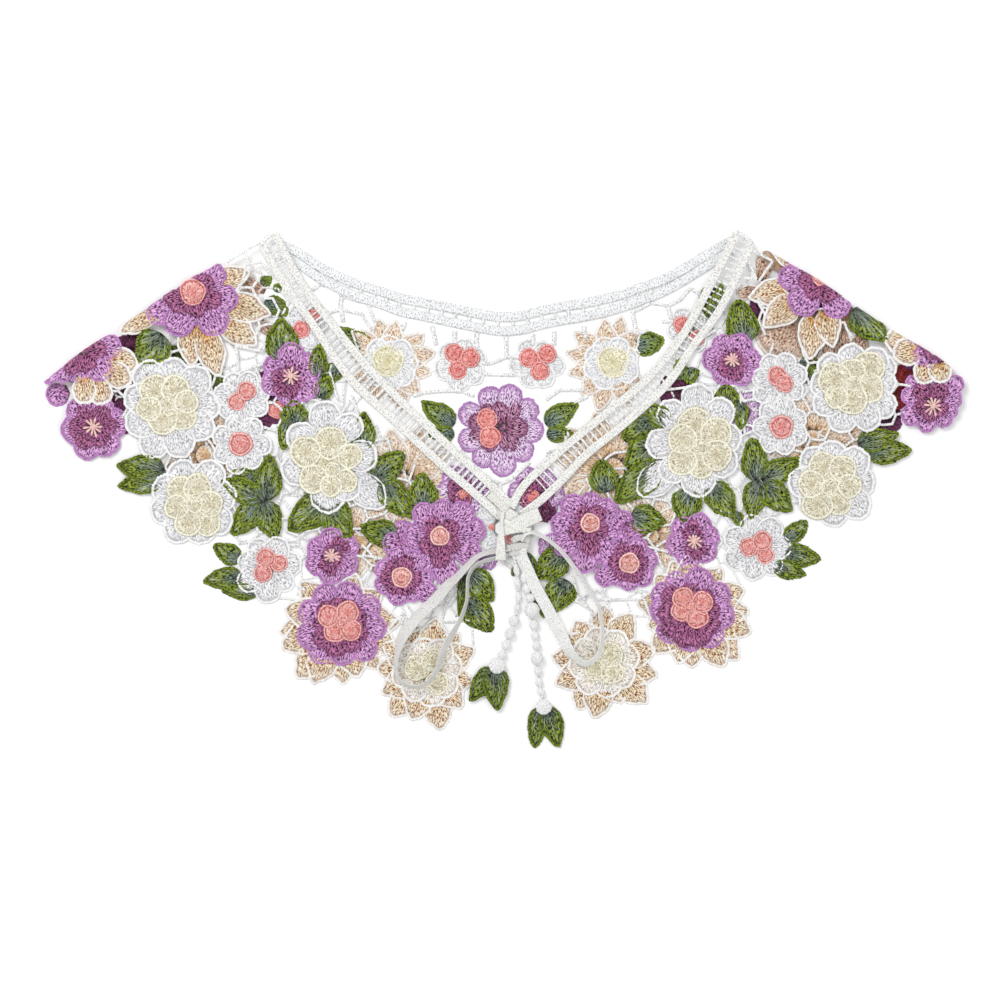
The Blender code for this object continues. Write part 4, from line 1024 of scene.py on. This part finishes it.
toward(right, 933, 350, [(917, 346, 10), (920, 356, 9), (928, 361, 8), (915, 336, 9), (944, 352, 8), (930, 330, 9)], 10, 0.18, "lilac", over=1.0, low=-0.2, crown=0.5, roundness=0.95, **FINE_RIM)
toward(right, 936, 350, [(929, 354, 7), (940, 356, 6), (925, 345, 7)], 7, 0.10, "plum", over=1.0, low=0.45, crown=0.4, **NO_RIM)
white_big(right, 853, 389, 46.5, 12, cream=(-3, -6), petals=9, cream_r=0.58,
          circles=((868, 368, 14), (851, 372, 12), (834, 380, 15), (868, 388, 13), (851, 399, 14), (836, 397, 11)), eye=(853, 384, 8))
lobe(right, 853, 389, 37, 50, 18, 15, "white", low=-0.36, crown=0.55, roundness=0.95, **WHITE_RIM)
white_small(right, 778, 381, 29, 15, hearts=((777, 376, 10), (784, 384, 9)))
white_small(right, 781, 427, 30, 25, dome_r=12)
white_big(right, 833, 482, 45, 0, cream=(-3, 3), petals=8, cream_r=0.58,
          circles=((823, 467, 13.5), (842, 469, 12), (849, 486, 11), (838, 502, 12), (817, 504, 13.5), (811, 484, 12)), eye=(829, 487, 8.5))
white_small(right, 757, 548, 34, 0, hearts=((765, 555, 9), (749, 547, 9.5), (762, 541, 10)))
toward(right, 695, 442, [(697, 399, 16), (720, 412, 15), (727, 438, 15), (722, 462, 16), (698, 481, 17), (660, 444, 15), (671, 414, 15), (672, 470, 14)], 15, 0.2, "white", over=1.0, low=-0.3, crown=0.55, roundness=0.95, **WHITE_RIM)
lobe(right, 690, 452, 219, 68, 20, 17, "white", low=-0.40, crown=0.6, shape="leaf", sweep=130, roundness=1.3, rim=1.7)
rosette(right, 700, 443, 31, 30, low=0.5, circles=((695, 425, 15), (716, 433, 14), (716, 455, 13.5), (700, 465, 12), (682, 461, 13), (682, 439, 13)), eye=(700, 447, 8.5))
toward(right, 931, 405, [(910, 396, 10), (911, 415, 11), (926, 424, 9), (943, 419, 9), (951, 399, 10), (950, 412, 7), (912, 383, 8), (954, 384, 9)], 10, 0.15, "lilac", over=1.0, low=-0.9, crown=0.5, roundness=0.95, **FINE_RIM)
toward(right, 931, 403, [(922, 392, 10), (938, 392, 9), (922, 409, 10), (939, 409, 8), (930, 414, 8)], 9, 0.10, "plum", over=1.0, low=-0.3, crown=0.45, **NO_RIM)
lilac_flower(right, 932, 406, 30, 0, 6, plum=(), eye="star", eye_r=8, outer=1, low=-0.85)
lilac_flower(right, 732, 360, 29, 0, 6, plum=((0, 6),), plum_r=0.56, plum_n=5, eye="star", eye_r=6.5)
lilac_flower(right, 694, 541, 28, 15, 6, plum=((-1, -8), (3, 8)), plum_r=0.45, plum_n=4, eye="star", eye_r=6.5)
ring(right, 626, 528, 3, 10, 2, 20, 12, "lilac", low=-0.5, **FINE_RIM)
dome(right, 626, 528, 12, "lilac", -0.6, 0.3, rim=0.5)
toward(right, 589, 526, [(590, 504, 12), (572, 506, 12), (562, 524, 12), (565, 545, 12), (585, 560, 13), (604, 552, 12), (610, 530, 12), (606, 510, 12)], 12, 0.18, "lilac", over=1.0, low=-0.15, crown=0.5, roundness=0.95, **FINE_RIM)
toward(right, 589, 524, [(580, 514, 9), (597, 514, 9), (600, 530, 9), (590, 546, 10), (577, 532, 9)], 9, 0.10, "plum", over=1.0, low=0.5, crown=0.45, **NO_RIM)
dome(right, 590, 523, 10, "peach", 1.1, 0.7, rim=1.4)
lilac_flower(right, 629, 563, 29, 10, 7, plum=((0, -1),), plum_r=0.70, plum_n=6, eye="ring", eye_r=10.5, low=-0.1)
lobe(right, 624, 569, 200, 31, 7, 11, "lilac", low=-0.1, **FINE_RIM)
toward(right, 690, 610, [(672, 560), (690, 553), (722, 567), (745, 588), (750, 612), (752, 632), (739, 660), (725, 667), (692, 669), (678, 664), (653, 654), (647, 628), (636, 602), (654, 575)],
       15.5, 0.40, "tan", low=-0.7, crown=0.45, **dict(TAN_RIM, roundness=1.35))
toward(right, 690, 609, [(676, 582), (700, 578), (720, 594), (724, 616), (712, 637), (690, 641), (668, 632), (660, 610), (662, 594)], 13.5, 0.18, "lilac", over=0.8, low=-0.15, crown=0.5, roundness=0.95, **FINE_RIM)
toward(right, 690, 612, [(668, 594, 11), (664, 612, 11), (668, 630, 11), (683, 640, 12), (700, 640, 12), (712, 627, 11), (715, 610, 9), (708, 596, 9), (690, 589, 10)], 10, 0.10, "plum", over=0.6, low=0.5, crown=0.45, **NO_RIM)
dome(right, 690, 607, 15, "coral", 0.8, 0.4, rim=0.6)
for k, (hu, hv, hr) in enumerate(((681, 611, 10.5), (683, 598, 11), (697, 617, 11.5), (702, 602, 11))):
    dome(right, hu, hv, hr, "coral", 1.0 + 0.24 * k, 0.7, rim=1.2)
dome(right, 690, 606.5, 6, "coral", 2.1, 0.45, rim=0.8)
toward(right, 603, 663, [(604, 604), (632, 612), (574, 620), (560, 636), (551, 657), (555, 685), (576, 710), (595, 719), (622, 704), (648, 703), (658, 676), (656, 648)],
       15.0, 0.42, "tan", low=-0.7, crown=0.45, **dict(TAN_RIM, roundness=1.35))
ring(right, 603, 663, 8, 10, 8, 36, 14, "ivory", low=-0.2, crown=0.5, roundness=0.9, **WHITE_RIM)
for k, (hu, hv, hr) in enumerate(((596, 669, 12), (612, 672, 12), (610, 655, 13))):
    dome(right, hu, hv, hr, "cream", 0.5 + 0.2 * k, 0.6, rim=1.2)

right_leaves = Piece("front_right_leaves")
for row in (
    (853, 310, 885, 341, 17), (858, 444, 898, 434, 12), (866, 451, 911, 451, 14),
    (756, 480, 752, 437, 14), (762, 480, 801, 459, 13), (758, 481, 750, 519, 13), (763, 484, 791, 512, 14),
    (786, 540, 808, 521, 10), (786, 553, 821, 560, 12), (774, 566, 806, 575, 10),
    (745, 343, 737, 299, 17), (710, 322, 722, 283, 8), (726, 406, 727, 384, 13), (740, 402, 741, 430, 8),
    (668, 424, 645, 405, 12), (650, 420, 622, 440, 14), (652, 444, 626, 468, 16), (658, 466, 614, 502, 17), (606, 492, 600, 459, 15), (631, 517, 665, 522, 15),
    (689, 490, 683, 522, 16), (710, 484, 734, 518, 15), (735, 512, 742, 528, 6),
    (564, 553, 538, 578, 16), (566, 580, 552, 612, 16), (688, 368, 692, 384, 10), (682, 380, 678, 358, 8),
):
    leaf(right_leaves, *row)

# ---------------------------------------------------------------- the back, wrong side up
# darker copies of the back's coral and plum, painted as the shade under the fronts
SCHEMES["coral_in_shade"] = (lin(150, 34, 34), lin(164, 44, 42), lin(170, 54, 52), lin(160, 50, 50), lin(110, 16, 20), lin(96, 6, 10), 0.8, 0.6, 0.1)
SCHEMES["plum_in_shade"] = (lin(110, 40, 84), lin(126, 52, 98), lin(134, 62, 108), lin(124, 60, 104), lin(64, 14, 50), lin(44, 4, 32), 1.0, 0.8, 0.2)
back = Piece("back_flowers")
UPPER[back.name] = back_top = Piece("back_hearts")
toward(back, 389, 362, [(378, 318), (396, 320), (425, 334), (436, 352), (432, 374), (420, 396), (404, 412), (372, 404), (352, 380), (346, 350), (352, 330)], 11.5, 0.42, "tan_back", layer="back", low=-0.5, crown=0.4, **dict(TAN_RIM))
ring(back, 390, 363, 8, 0, 6, 29, 12, "white_back", low=-0.1, layer="back", crown=0.45, roundness=0.9, **WHITE_RIM)
dome(back, 388, 361, 16, "cream_back", 0.45, 0.5, layer="back", rim=1.2)
toward(back, 610, 362, [(622, 316), (604, 318), (574, 332), (566, 352), (568, 374), (582, 396), (598, 412), (630, 406), (642, 384), (640, 352), (640, 330)], 11.5, 0.42, "tan_back", layer="back", low=-0.5, crown=0.4, **dict(TAN_RIM))
ring(back, 611, 363, 8, 20, 6, 29, 12, "white_back", low=-0.1, layer="back", crown=0.45, roundness=0.9, **WHITE_RIM)
dome(back, 613, 362, 16, "cream_back", 0.45, 0.5, layer="back", rim=1.2)
white_small(back, 461, 364, 28, 20, 6, hearts=((458, 370, 9.5), (454, 353, 9.5), (470, 358, 10)), scheme="white_back", layer="back", low=-0.5)
white_small(back, 537, 365, 27, 0, 6, hearts=((529, 358, 10), (540, 371, 9.5), (547, 354, 9.5)), scheme="white_back", layer="back", low=-0.5)
toward(back, 500, 430, [(490, 398, 12), (510, 396, 12), (527, 410, 12), (532, 430, 12), (522, 450, 12), (503, 464, 13), (484, 456, 12), (470, 440, 12), (470, 414, 12)], 12, 0.18, "lilac_back", over=1.0, layer="back", low=-0.5, crown=0.45, roundness=0.95, **FINE_RIM)
toward(back, 503, 427, [(512, 408, 10), (520, 428, 10), (510, 444, 10), (488, 444, 9), (476, 437, 9), (475, 422, 9), (486, 412, 9), (499, 408, 8)], 9, 0.1, "plum_back", over=0.8, layer="back", low=0.0, crown=0.4, **NO_RIM)
dome(back, 487, 419, 10.5, "coral_back", 0.5, 0.5, layer="back", rim=1.1)
dome(back, 490, 437, 11, "coral_back", 0.6, 0.5, layer="back", rim=1.1)
for row in ((454, 424, 421, 402, 12), (454, 434, 428, 434, 9), (546, 424, 578, 404, 12), (547, 434, 574, 434, 9),
            (372, 352, 336, 328, 12), (634, 346, 665, 340, 13), (513, 576, 514, 566, 2.6), (533, 585, 545, 618, 8), (526, 553, 536, 590, 8)):
    leaf(back, *row, layer="back", low=-0.4, scheme="leaf_back")
# the flower at the middle of the hem, mostly under the knot
ring(back, 503, 528, 8, 0, 8, 33, 13, "white_back", low=-0.5, layer="back", roundness=0.9, **WHITE_RIM)
for hu, hv, hr in ((491.5, 527, 3.4), (509.5, 539.5, 5)):
    dome(back, hu, hv, hr, "coral_back", 0.1, 0.4, layer="back")
ring(back, 552, 547, 6, 30, 2, 14.5, 7.5, "lilac_back", low=0.35, layer="back", crown=0.4, roundness=0.95, **FINE_RIM)
ring(back, 488, 560, 5, 10, 2, 10, 6, "lilac_back", low=-0.4, layer="back", crown=0.4, roundness=0.95, **FINE_RIM)
# flowers half under the tapes and the fronts
lilac_flower(back, 462, 492, 27, 0, 6, plum=((0, 0),), plum_r=0.6, eye="", low=-0.5, layer="back", scheme="lilac_back", plum_scheme="plum")
dome(back, 464, 497, 8, "coral_back", 0.3, 0.4, layer="back")
lilac_flower(back, 536, 494, 29, 0, 6, plum=((0, 0),), plum_r=0.66, eye="", low=-0.5, layer="back", scheme="lilac_back", plum_scheme="plum")
dome(back, 531, 498, 9, "coral_back", 0.3, 0.4, layer="back")
# a back plum flower by the knot in the darker plum scheme, painted shade
dome(back, 545, 512, 6, "plum_in_shade", 0.0, 0.3, layer="back", rim=0.5)
ring(back, 545, 512, 5, 10, 2, 11, 6.5, "plum_in_shade", low=0.1, layer="back", crown=0.4, roundness=0.95, **NO_RIM)
white_small(back, 305, 328, 24, 0, 6, hearts=((301, 330, 9), (312, 317, 8)), scheme="white_back", layer="back", low=-0.5)
white_small(back, 690, 330, 24, 0, 6, hearts=((697, 338, 8), (682, 325, 9)), scheme="white_back", layer="back", low=-0.5)
for cu, cv, r, scheme in ((402, 486, 60, "tan_back"), (612, 470, 60, "tan_back"), (206, 455, 50, "tan_back"), (360, 540, 44, "tan_back"), (812, 440, 50, "tan_back"), (650, 535, 44, "tan_back"),
                          (846, 436, 30, "tan_back")):
    args = dict(TAN_RIM)
    dome(back, cu, cv, 0.4 * r, scheme, -0.8, 0.2, layer="back", rim=0.6)
    ring(back, cu, cv, 11, 5, 0.2 * r, r, 0.25 * r, scheme, layer="back", low=-0.6, pitch=3.2, crown=0.4, **args)
# back flowers seen under the fronts; the darker plum and coral schemes among them are painted shade
for cu, cv, r, scheme in ((132, 352, 20, "plum_in_shade"), (120, 396, 16, "plum_in_shade"), (264, 400, 30, "plum_in_shade"), (907, 374, 12, "coral_in_shade"), (899, 395, 15, "coral_in_shade"), (886, 418, 17, "plum_in_shade"),
                          (745, 412, 24, "lilac_back"), (678, 392, 20, "plum_in_shade"), (762, 306, 14, "plum_in_shade"), (127, 420, 14, "plum_in_shade")):
    dome(back, cu, cv, 0.45 * r, scheme, -0.75, 0.2, layer="back", rim=0.5)
    ring(back, cu, cv, 6, 20, 0.15 * r, r, 0.46 * r, scheme, layer="back", low=-0.6, pitch=2.8, crown=0.4, roundness=0.9, **FINE_RIM)
for cu, cv, r in ((277, 410, 9),):
    dome(back, cu, cv, r, "coral_back", 0.1, 0.4, layer="back")
for row in ((165, 368, 206, 380, 13), (205, 390, 222, 372, 9), (232, 476, 256, 466, 8), (266, 300, 290, 315, 10), (262, 285, 271, 276, 6), (276, 292, 280, 283, 5),
            (800, 362, 822, 364, 8), (808, 384, 808, 362, 6), (300, 404, 284, 440, 12), (712, 285, 700, 322, 9), (340, 366, 322, 384, 10)):
    leaf(back, *row, layer="back", low=-0.5, scheme="leaf_back")
lobe(back, 70, 388, 208, 26, 2, 12, "lilac", layer="back", low=-0.5, **FINE_RIM)
# back tan petals under the left fold, painted darker as shade
for bu, bv, turn, reach, half in ((266, 292, 155, 26, 8), (276, 338, 135, 22, 7), (262, 322, 100, 16, 6)):
    lobe(back, bu, bv, turn, reach, 1, half, "tan_deep", layer="back", low=-0.5, **FINE_RIM)
# back leaves under the left fold, painted darker as shade
for row in ((164, 352, 204, 372, 13), (176, 366, 220, 392, 13), (196, 356, 226, 384, 9)):
    leaf(back, *row, layer="back", low=-0.5, scheme="leaf_deep", blue=0.0)
dome(back, 266, 280, 4.0, "leaf_back", -0.2, 0.5, layer="back")
# back tan petals under the right fold, painted darker as shade
for bu, bv, turn, reach, half in ((806, 314, 218, 58, 20), (812, 318, 250, 44, 16), (838, 322, 270, 38, 13), (826, 322, 255, 42, 12), (862, 330, 262, 26, 10), (760, 282, 74, 30, 10.5),
                                  (760, 290, 190, 24, 8), (748, 350, 100, 26, 9)):
    lobe(back, bu, bv, turn, reach, 1, half, "tan_deep", layer="back", low=-0.5, **FINE_RIM)

# ---------------------------------------------------------------- the net of bars
for cu, cv, r in ((778, 338, 26), (838, 344, 18), (762, 264, 19), (745, 292, 12), (250, 262, 16), (244, 360, 24), (296, 455, 10), (640, 330, 12)):
    COVER["front"].append(np.array([at(cu + r * math.cos(a), cv + r * math.sin(a)) for a in np.linspace(0, 2 * math.pi, 14, endpoint=False)]))
FRONT_BODY = {
    "left": [(-280.0, 58.0), (-238.0, 26.0), (-212.0, -26.0), (-160.0, -48.0), (-138.0, -76.0), (-60.0, -104.0),
             (-34.0, -94.0), (-22.0, -84.0), (-18.0, -48.0), (-16.0, -20.0), (-44.0, 4.0), (-74.0, 32.0), (-104.0, 62.0),
             (-128.0, 98.0), (-148.0, 130.0), (-158.0, 150.0)],
    "right": [(280.0, 64.0), (262.0, 34.0), (216.0, -14.0), (174.0, -38.0), (156.0, -62.0), (84.0, -102.0), (48.0, -90.0),
              (44.0, -66.0), (38.0, -40.0), (34.0, -8.0), (56.0, 8.0), (82.0, 28.0), (110.0, 54.0), (130.0, 82.0), (147.0, 114.0), (160.0, 150.0)],
}
net_left = Piece("front_left_net")
net_right = Piece("front_right_net")
for side, piece in (("left", net_left), ("right", net_right)):
    net(piece, np.array(FRONT_BODY[side]), 9.5, "front", -0.72)
BARS = {
    "left": [((228, 263), (246, 252)), ((246, 252), (262, 243)), ((246, 252), (250, 266)), ((262, 263), (246, 266)), ((246, 266), (243, 284)), ((262, 263), (272, 276)), ((236, 346), (262, 352)), ((262, 352), (268, 340)), ((236, 346), (238, 372)),
             ((262, 365), (236, 374)), ((345, 378), (342, 408)), ((352, 395), (360, 420)), ((330, 372), (338, 400)), ((284, 500), (292, 512)),
             ((240, 540), (270, 545)), ((300, 545), (270, 545)), ((285, 530), (310, 540)), ((362, 555), (385, 560)), ((362, 545), (376, 560)),
             ((300, 600), (272, 598)), ((405, 610), (380, 640)), ((400, 600), (412, 632)), ((412, 632), (440, 622)), ((440, 622), (470, 620)),
             ((452, 582), (462, 596)), ((452, 582), (441, 624)), ((441, 624), (448, 640)), ((395, 655), (412, 632)), ((288, 582), (305, 590)), ((436, 575), (452, 582)),
             ((388, 622), (404, 616)), ((404, 616), (400, 640)), ((472, 625), (474, 650))],
    "right": [((750, 250), (772, 262)), ((772, 262), (758, 282)), ((748, 262), (756, 280)), ((735, 278), (756, 280)), ((724, 300), (740, 284)), ((716, 330), (725, 345)), ((700, 340), (716, 330)),
              ((762, 388), (742, 392)), ((762, 398), (742, 402)), ((762, 425), (742, 436)), ((740, 395), (745, 435)), ((665, 390), (700, 385)), ((756, 300), (768, 320)),
              ((720, 510), (738, 530)), ((722, 545), (736, 560)), ((655, 548), (668, 540)), ((655, 550), (665, 572)), ((640, 545), (668, 552)),
              ((598, 590), (574, 600)), ((574, 600), (592, 611)), ((592, 611), (594, 640)), ((598, 600), (640, 600)), ((640, 590), (652, 620)),
              ((545, 615), (560, 640)), ((600, 590), (612, 610)), ((733, 570), (740, 585)), ((572, 575), (578, 600))],
}
for side, piece in (("left", net_left), ("right", net_right)):
    for a, b in BARS[side]:
        bar(piece, a, b, bow=float(rng.uniform(-0.6, 0.6)))

net_back = Piece("back_net")
hidden = np.array([(-276.0, 60.0), (-250.0, 34.0), (-200.0, 8.0), (-144.0, -14.0), (-80.0, -44.0), (-46.0, -54.0), (-20.0, -50.0), (-18.0, -14.0),
                   (-70.0, 34.0), (-122.0, 98.0), (-156.0, 148.0)])
hidden_right = np.array([(280.0, 64.0), (258.0, 40.0), (200.0, 12.0), (145.0, -8.0), (80.0, -40.0), (30.0, -54.0), (26.0, -14.0),
                         (76.0, 34.0), (124.0, 92.0), (158.0, 148.0)])
net(net_back, hidden, 10.5, "back", -0.4, seed=5)
net(net_back, hidden_right[::-1], 10.5, "back", -0.4, seed=6)
BACK_BARS = [((455, 331), (455, 345)), ((477, 333), (477, 348)), ((506, 336), (507, 358)), ((533, 334), (533, 346)), ((554, 331), (554, 345)), ((584, 326), (586, 338)),
             ((480, 363), (488, 364)), ((488, 364), (500, 360)), ((500, 360), (508, 357)), ((508, 357), (524, 358)), ((484, 374), (516, 375)), ((432, 326), (436, 345)), ((405, 322), (402, 330)),
             ((320, 284), (334, 288)), ((334, 288), (342, 297)), ((342, 297), (341, 309)), ((341, 309), (328, 313)), ((320, 284), (312, 290)), ((343, 296), (368, 303)), ((368, 303), (375, 322)),
             ((341, 309), (362, 314)), ((362, 314), (372, 330)), ((343, 322), (341, 309)), ((430, 392), (462, 391)), ((413, 396), (430, 392)),
             ((462, 391), (474, 396)), ((546, 400), (560, 390)), ((560, 390), (584, 390)), ((430, 452), (462, 452)), ((462, 452), (472, 462)),
             ((546, 452), (566, 448)), ((548, 455), (552, 470)), ((566, 436), (566, 448)), ((470, 466), (500, 484)), ((513, 478), (530, 462)), ((500, 484), (513, 478)), ((500, 484), (500, 500)),
             ((632, 312), (636, 334)), ((632, 312), (650, 303)), ((650, 303), (668, 306)), ((668, 306), (672, 320)), ((636, 334), (648, 330)), ((690, 288), (680, 300)), ((680, 300), (668, 306)), ((690, 288), (704, 298)),
             ((478, 520), (500, 512)), ((470, 578), (484, 562)), ((484, 562), (500, 558)), ((500, 558), (512, 568)), ((662, 322), (690, 318)), ((588, 396), (574, 402)), ((480, 552), (500, 556))]
for a, b in BACK_BARS:
    bar(net_back, a, b, width=3.3 if abs(a[0] - b[0]) < 5 and a[1] < 340 else 2.5, layer="back", height=-0.1, bow=float(rng.uniform(-0.5, 0.5)))

# ---------------------------------------------------------------- ladder tapes and neckbands
TAPES = {
    "left": ([(263, 244), (268, 256), (288, 289), (312, 323), (349, 377), (393, 419), (440, 463), (480, 498), (501, 517)],
             [(276, 234), (281, 246), (303, 285), (330, 321), (364, 363), (402, 402), (440, 438), (479, 474), (502, 496), (511, 506)]),
    "right": ([(736, 234), (731, 244), (712, 281), (682, 336), (646, 380), (604, 415), (566, 446), (533, 476), (520, 491), (511, 508)],
              [(750, 245), (745, 257), (720, 309), (693, 346), (667, 384), (625, 423), (587, 454), (561, 481), (541, 500), (521, 515)]),
}
tape = {}
for side, pair in TAPES.items():
    p = tape[side] = Piece("neck_tape_" + side + "_lace")
    lines = []
    for chart in pair:
        route = [at(u, v) for u, v in chart]
        band(p, route, 5.5, 0.9, "front", height=0.10, step=0.8, rib=0.05, n=12, groove=0.2, square=0.5, colour=(246, 245, 241), amount=0.5)
        lines.append(catmull(route, 1.0))
    a, b = lines
    for k in range(5, len(a) - (26 if side == "right" else 5), 4):
        p1 = a[k]
        p2 = b[int(np.argmin(np.linalg.norm(b - p1, axis=1)))]
        if float(np.linalg.norm(p2 - p1)) > 2.5:
            band(p, [tuple(p1), tuple((p1 + p2) / 2 + rng.uniform(-0.3, 0.3, 2)), tuple(p2)], rng.uniform(0.9, 1.9), 0.6, "front", height=-0.15,
                 step=0.9, rib=0.08, n=6, square=0.9)
    corner = [at(u, v) for u, v in (((262, 246), (266, 240), (272, 235), (277, 233)) if side == "left" else ((736, 233), (742, 236), (747, 240), (751, 246)))]
    band(p, corner, 3.2, 1.2, "front", height=0.15, step=0.7, rib=0.06, n=8)

BAND_TOP = [(281, 241), (292, 244), (305, 252), (320, 262), (340, 272), (360, 280), (380, 286), (400, 293), (420, 297), (440, 301), (460, 305), (480, 309), (500, 312),
            (520, 311), (540, 306), (560, 302), (580, 299), (600, 295), (620, 290), (640, 283), (660, 276), (680, 266), (700, 254), (720, 242), (732, 236)]
bands = Piece("neckband_outer_lace")
low_band = Piece("neckband_inner_lace")
top = [at(u, v + 5.0) for u, v in BAND_TOP]
low = [at(u, v + 19.0 - 4.0 * (abs(u - 500) / 236.0) ** 2) for u, v in BAND_TOP]
band(bands, top, 6.2, 1.3, "back", height=0.05, step=0.62, rib=0.09, n=12, groove=0.3, square=0.5, amount=0.55, colour=(245, 247, 249), edge=0.78)
band(low_band, low, 6.0, 1.3, "back", height=0.05, step=0.62, rib=0.09, n=12, groove=0.3, square=0.5, amount=0.55, colour=(245, 247, 249), edge=0.78)
top_line, low_line = catmull(top, 1.0), catmull(low, 1.0)
for k in range(6, len(top_line) - 6, 9):
    p1 = top_line[k]
    p2 = low_line[int(np.argmin(np.linalg.norm(low_line - p1, axis=1)))]
    band(low_band, [tuple(p1), tuple((p1 + p2) / 2), tuple(p2)], 2.4, 0.9, "back", height=-0.05, step=0.7, rib=0.08, n=6, square=0.9)

# ---------------------------------------------------------------- build the objects and hide the imported parts
o = {}
o["lf"] = left.build(MAT_THREAD, "lace_front")
o["lt"] = left_top.build(MAT_THREAD, "lace_front")
o["rt"] = right_top.build(MAT_THREAD, "lace_front")
o["bt"] = back_top.build(MAT_THREAD, "lace_back")
o["ll"] = left_leaves.build(MAT_THREAD, "lace_front")
o["ln"] = net_left.build(MAT_WHITE, "lace_front")
o["rf"] = right.build(MAT_THREAD, "lace_front")
o["rl"] = right_leaves.build(MAT_THREAD, "lace_front")
o["rn"] = net_right.build(MAT_WHITE, "lace_front")
o["bf"] = back.build(MAT_THREAD, "lace_back")
o["bn"] = net_back.build(MAT_WHITE, "lace_back")
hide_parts("lace_front_left")
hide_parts("lace_front_right")
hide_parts("lace_back")
for side in ("left", "right"):
    o["t" + side] = tape[side].build(MAT_WHITE, "tape")
    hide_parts("neck_tape_" + side)
    o["loop" + side] = loops[side].build(MAT_RIBBON, "ribbon")
    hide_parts("tie_loop_" + side)
    o["string" + side] = strings[side].build(MAT_WHITE, "beads")
    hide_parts("bead_string_" + side)
    o["cap" + side] = caps_p[side].build(MAT_WHITE, "beads")
    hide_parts("bead_cap_" + side)
    o["leaf" + side] = tassels[side].build(MAT_THREAD, "leaves")
    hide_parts("leaf_tassel_" + side)
    [q.build(MAT_WHITE, "beads") for q in beads_p[side]] + [o["cap" + side], o["leaf" + side]]
o["band"] = bands.build(MAT_WHITE, "tape")
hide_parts("neckband_outer")
o["low"] = low_band.build(MAT_WHITE, "tape")
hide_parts("neckband_inner")
o["knot"] = knot.build(MAT_RIBBON, "ribbon")
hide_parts("tie_knot")
o["strap"] = strap.build(MAT_RIBBON, "ribbon")
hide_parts("tie_strap")
print("TRIANGLES in all", sum(TRIANGLES))
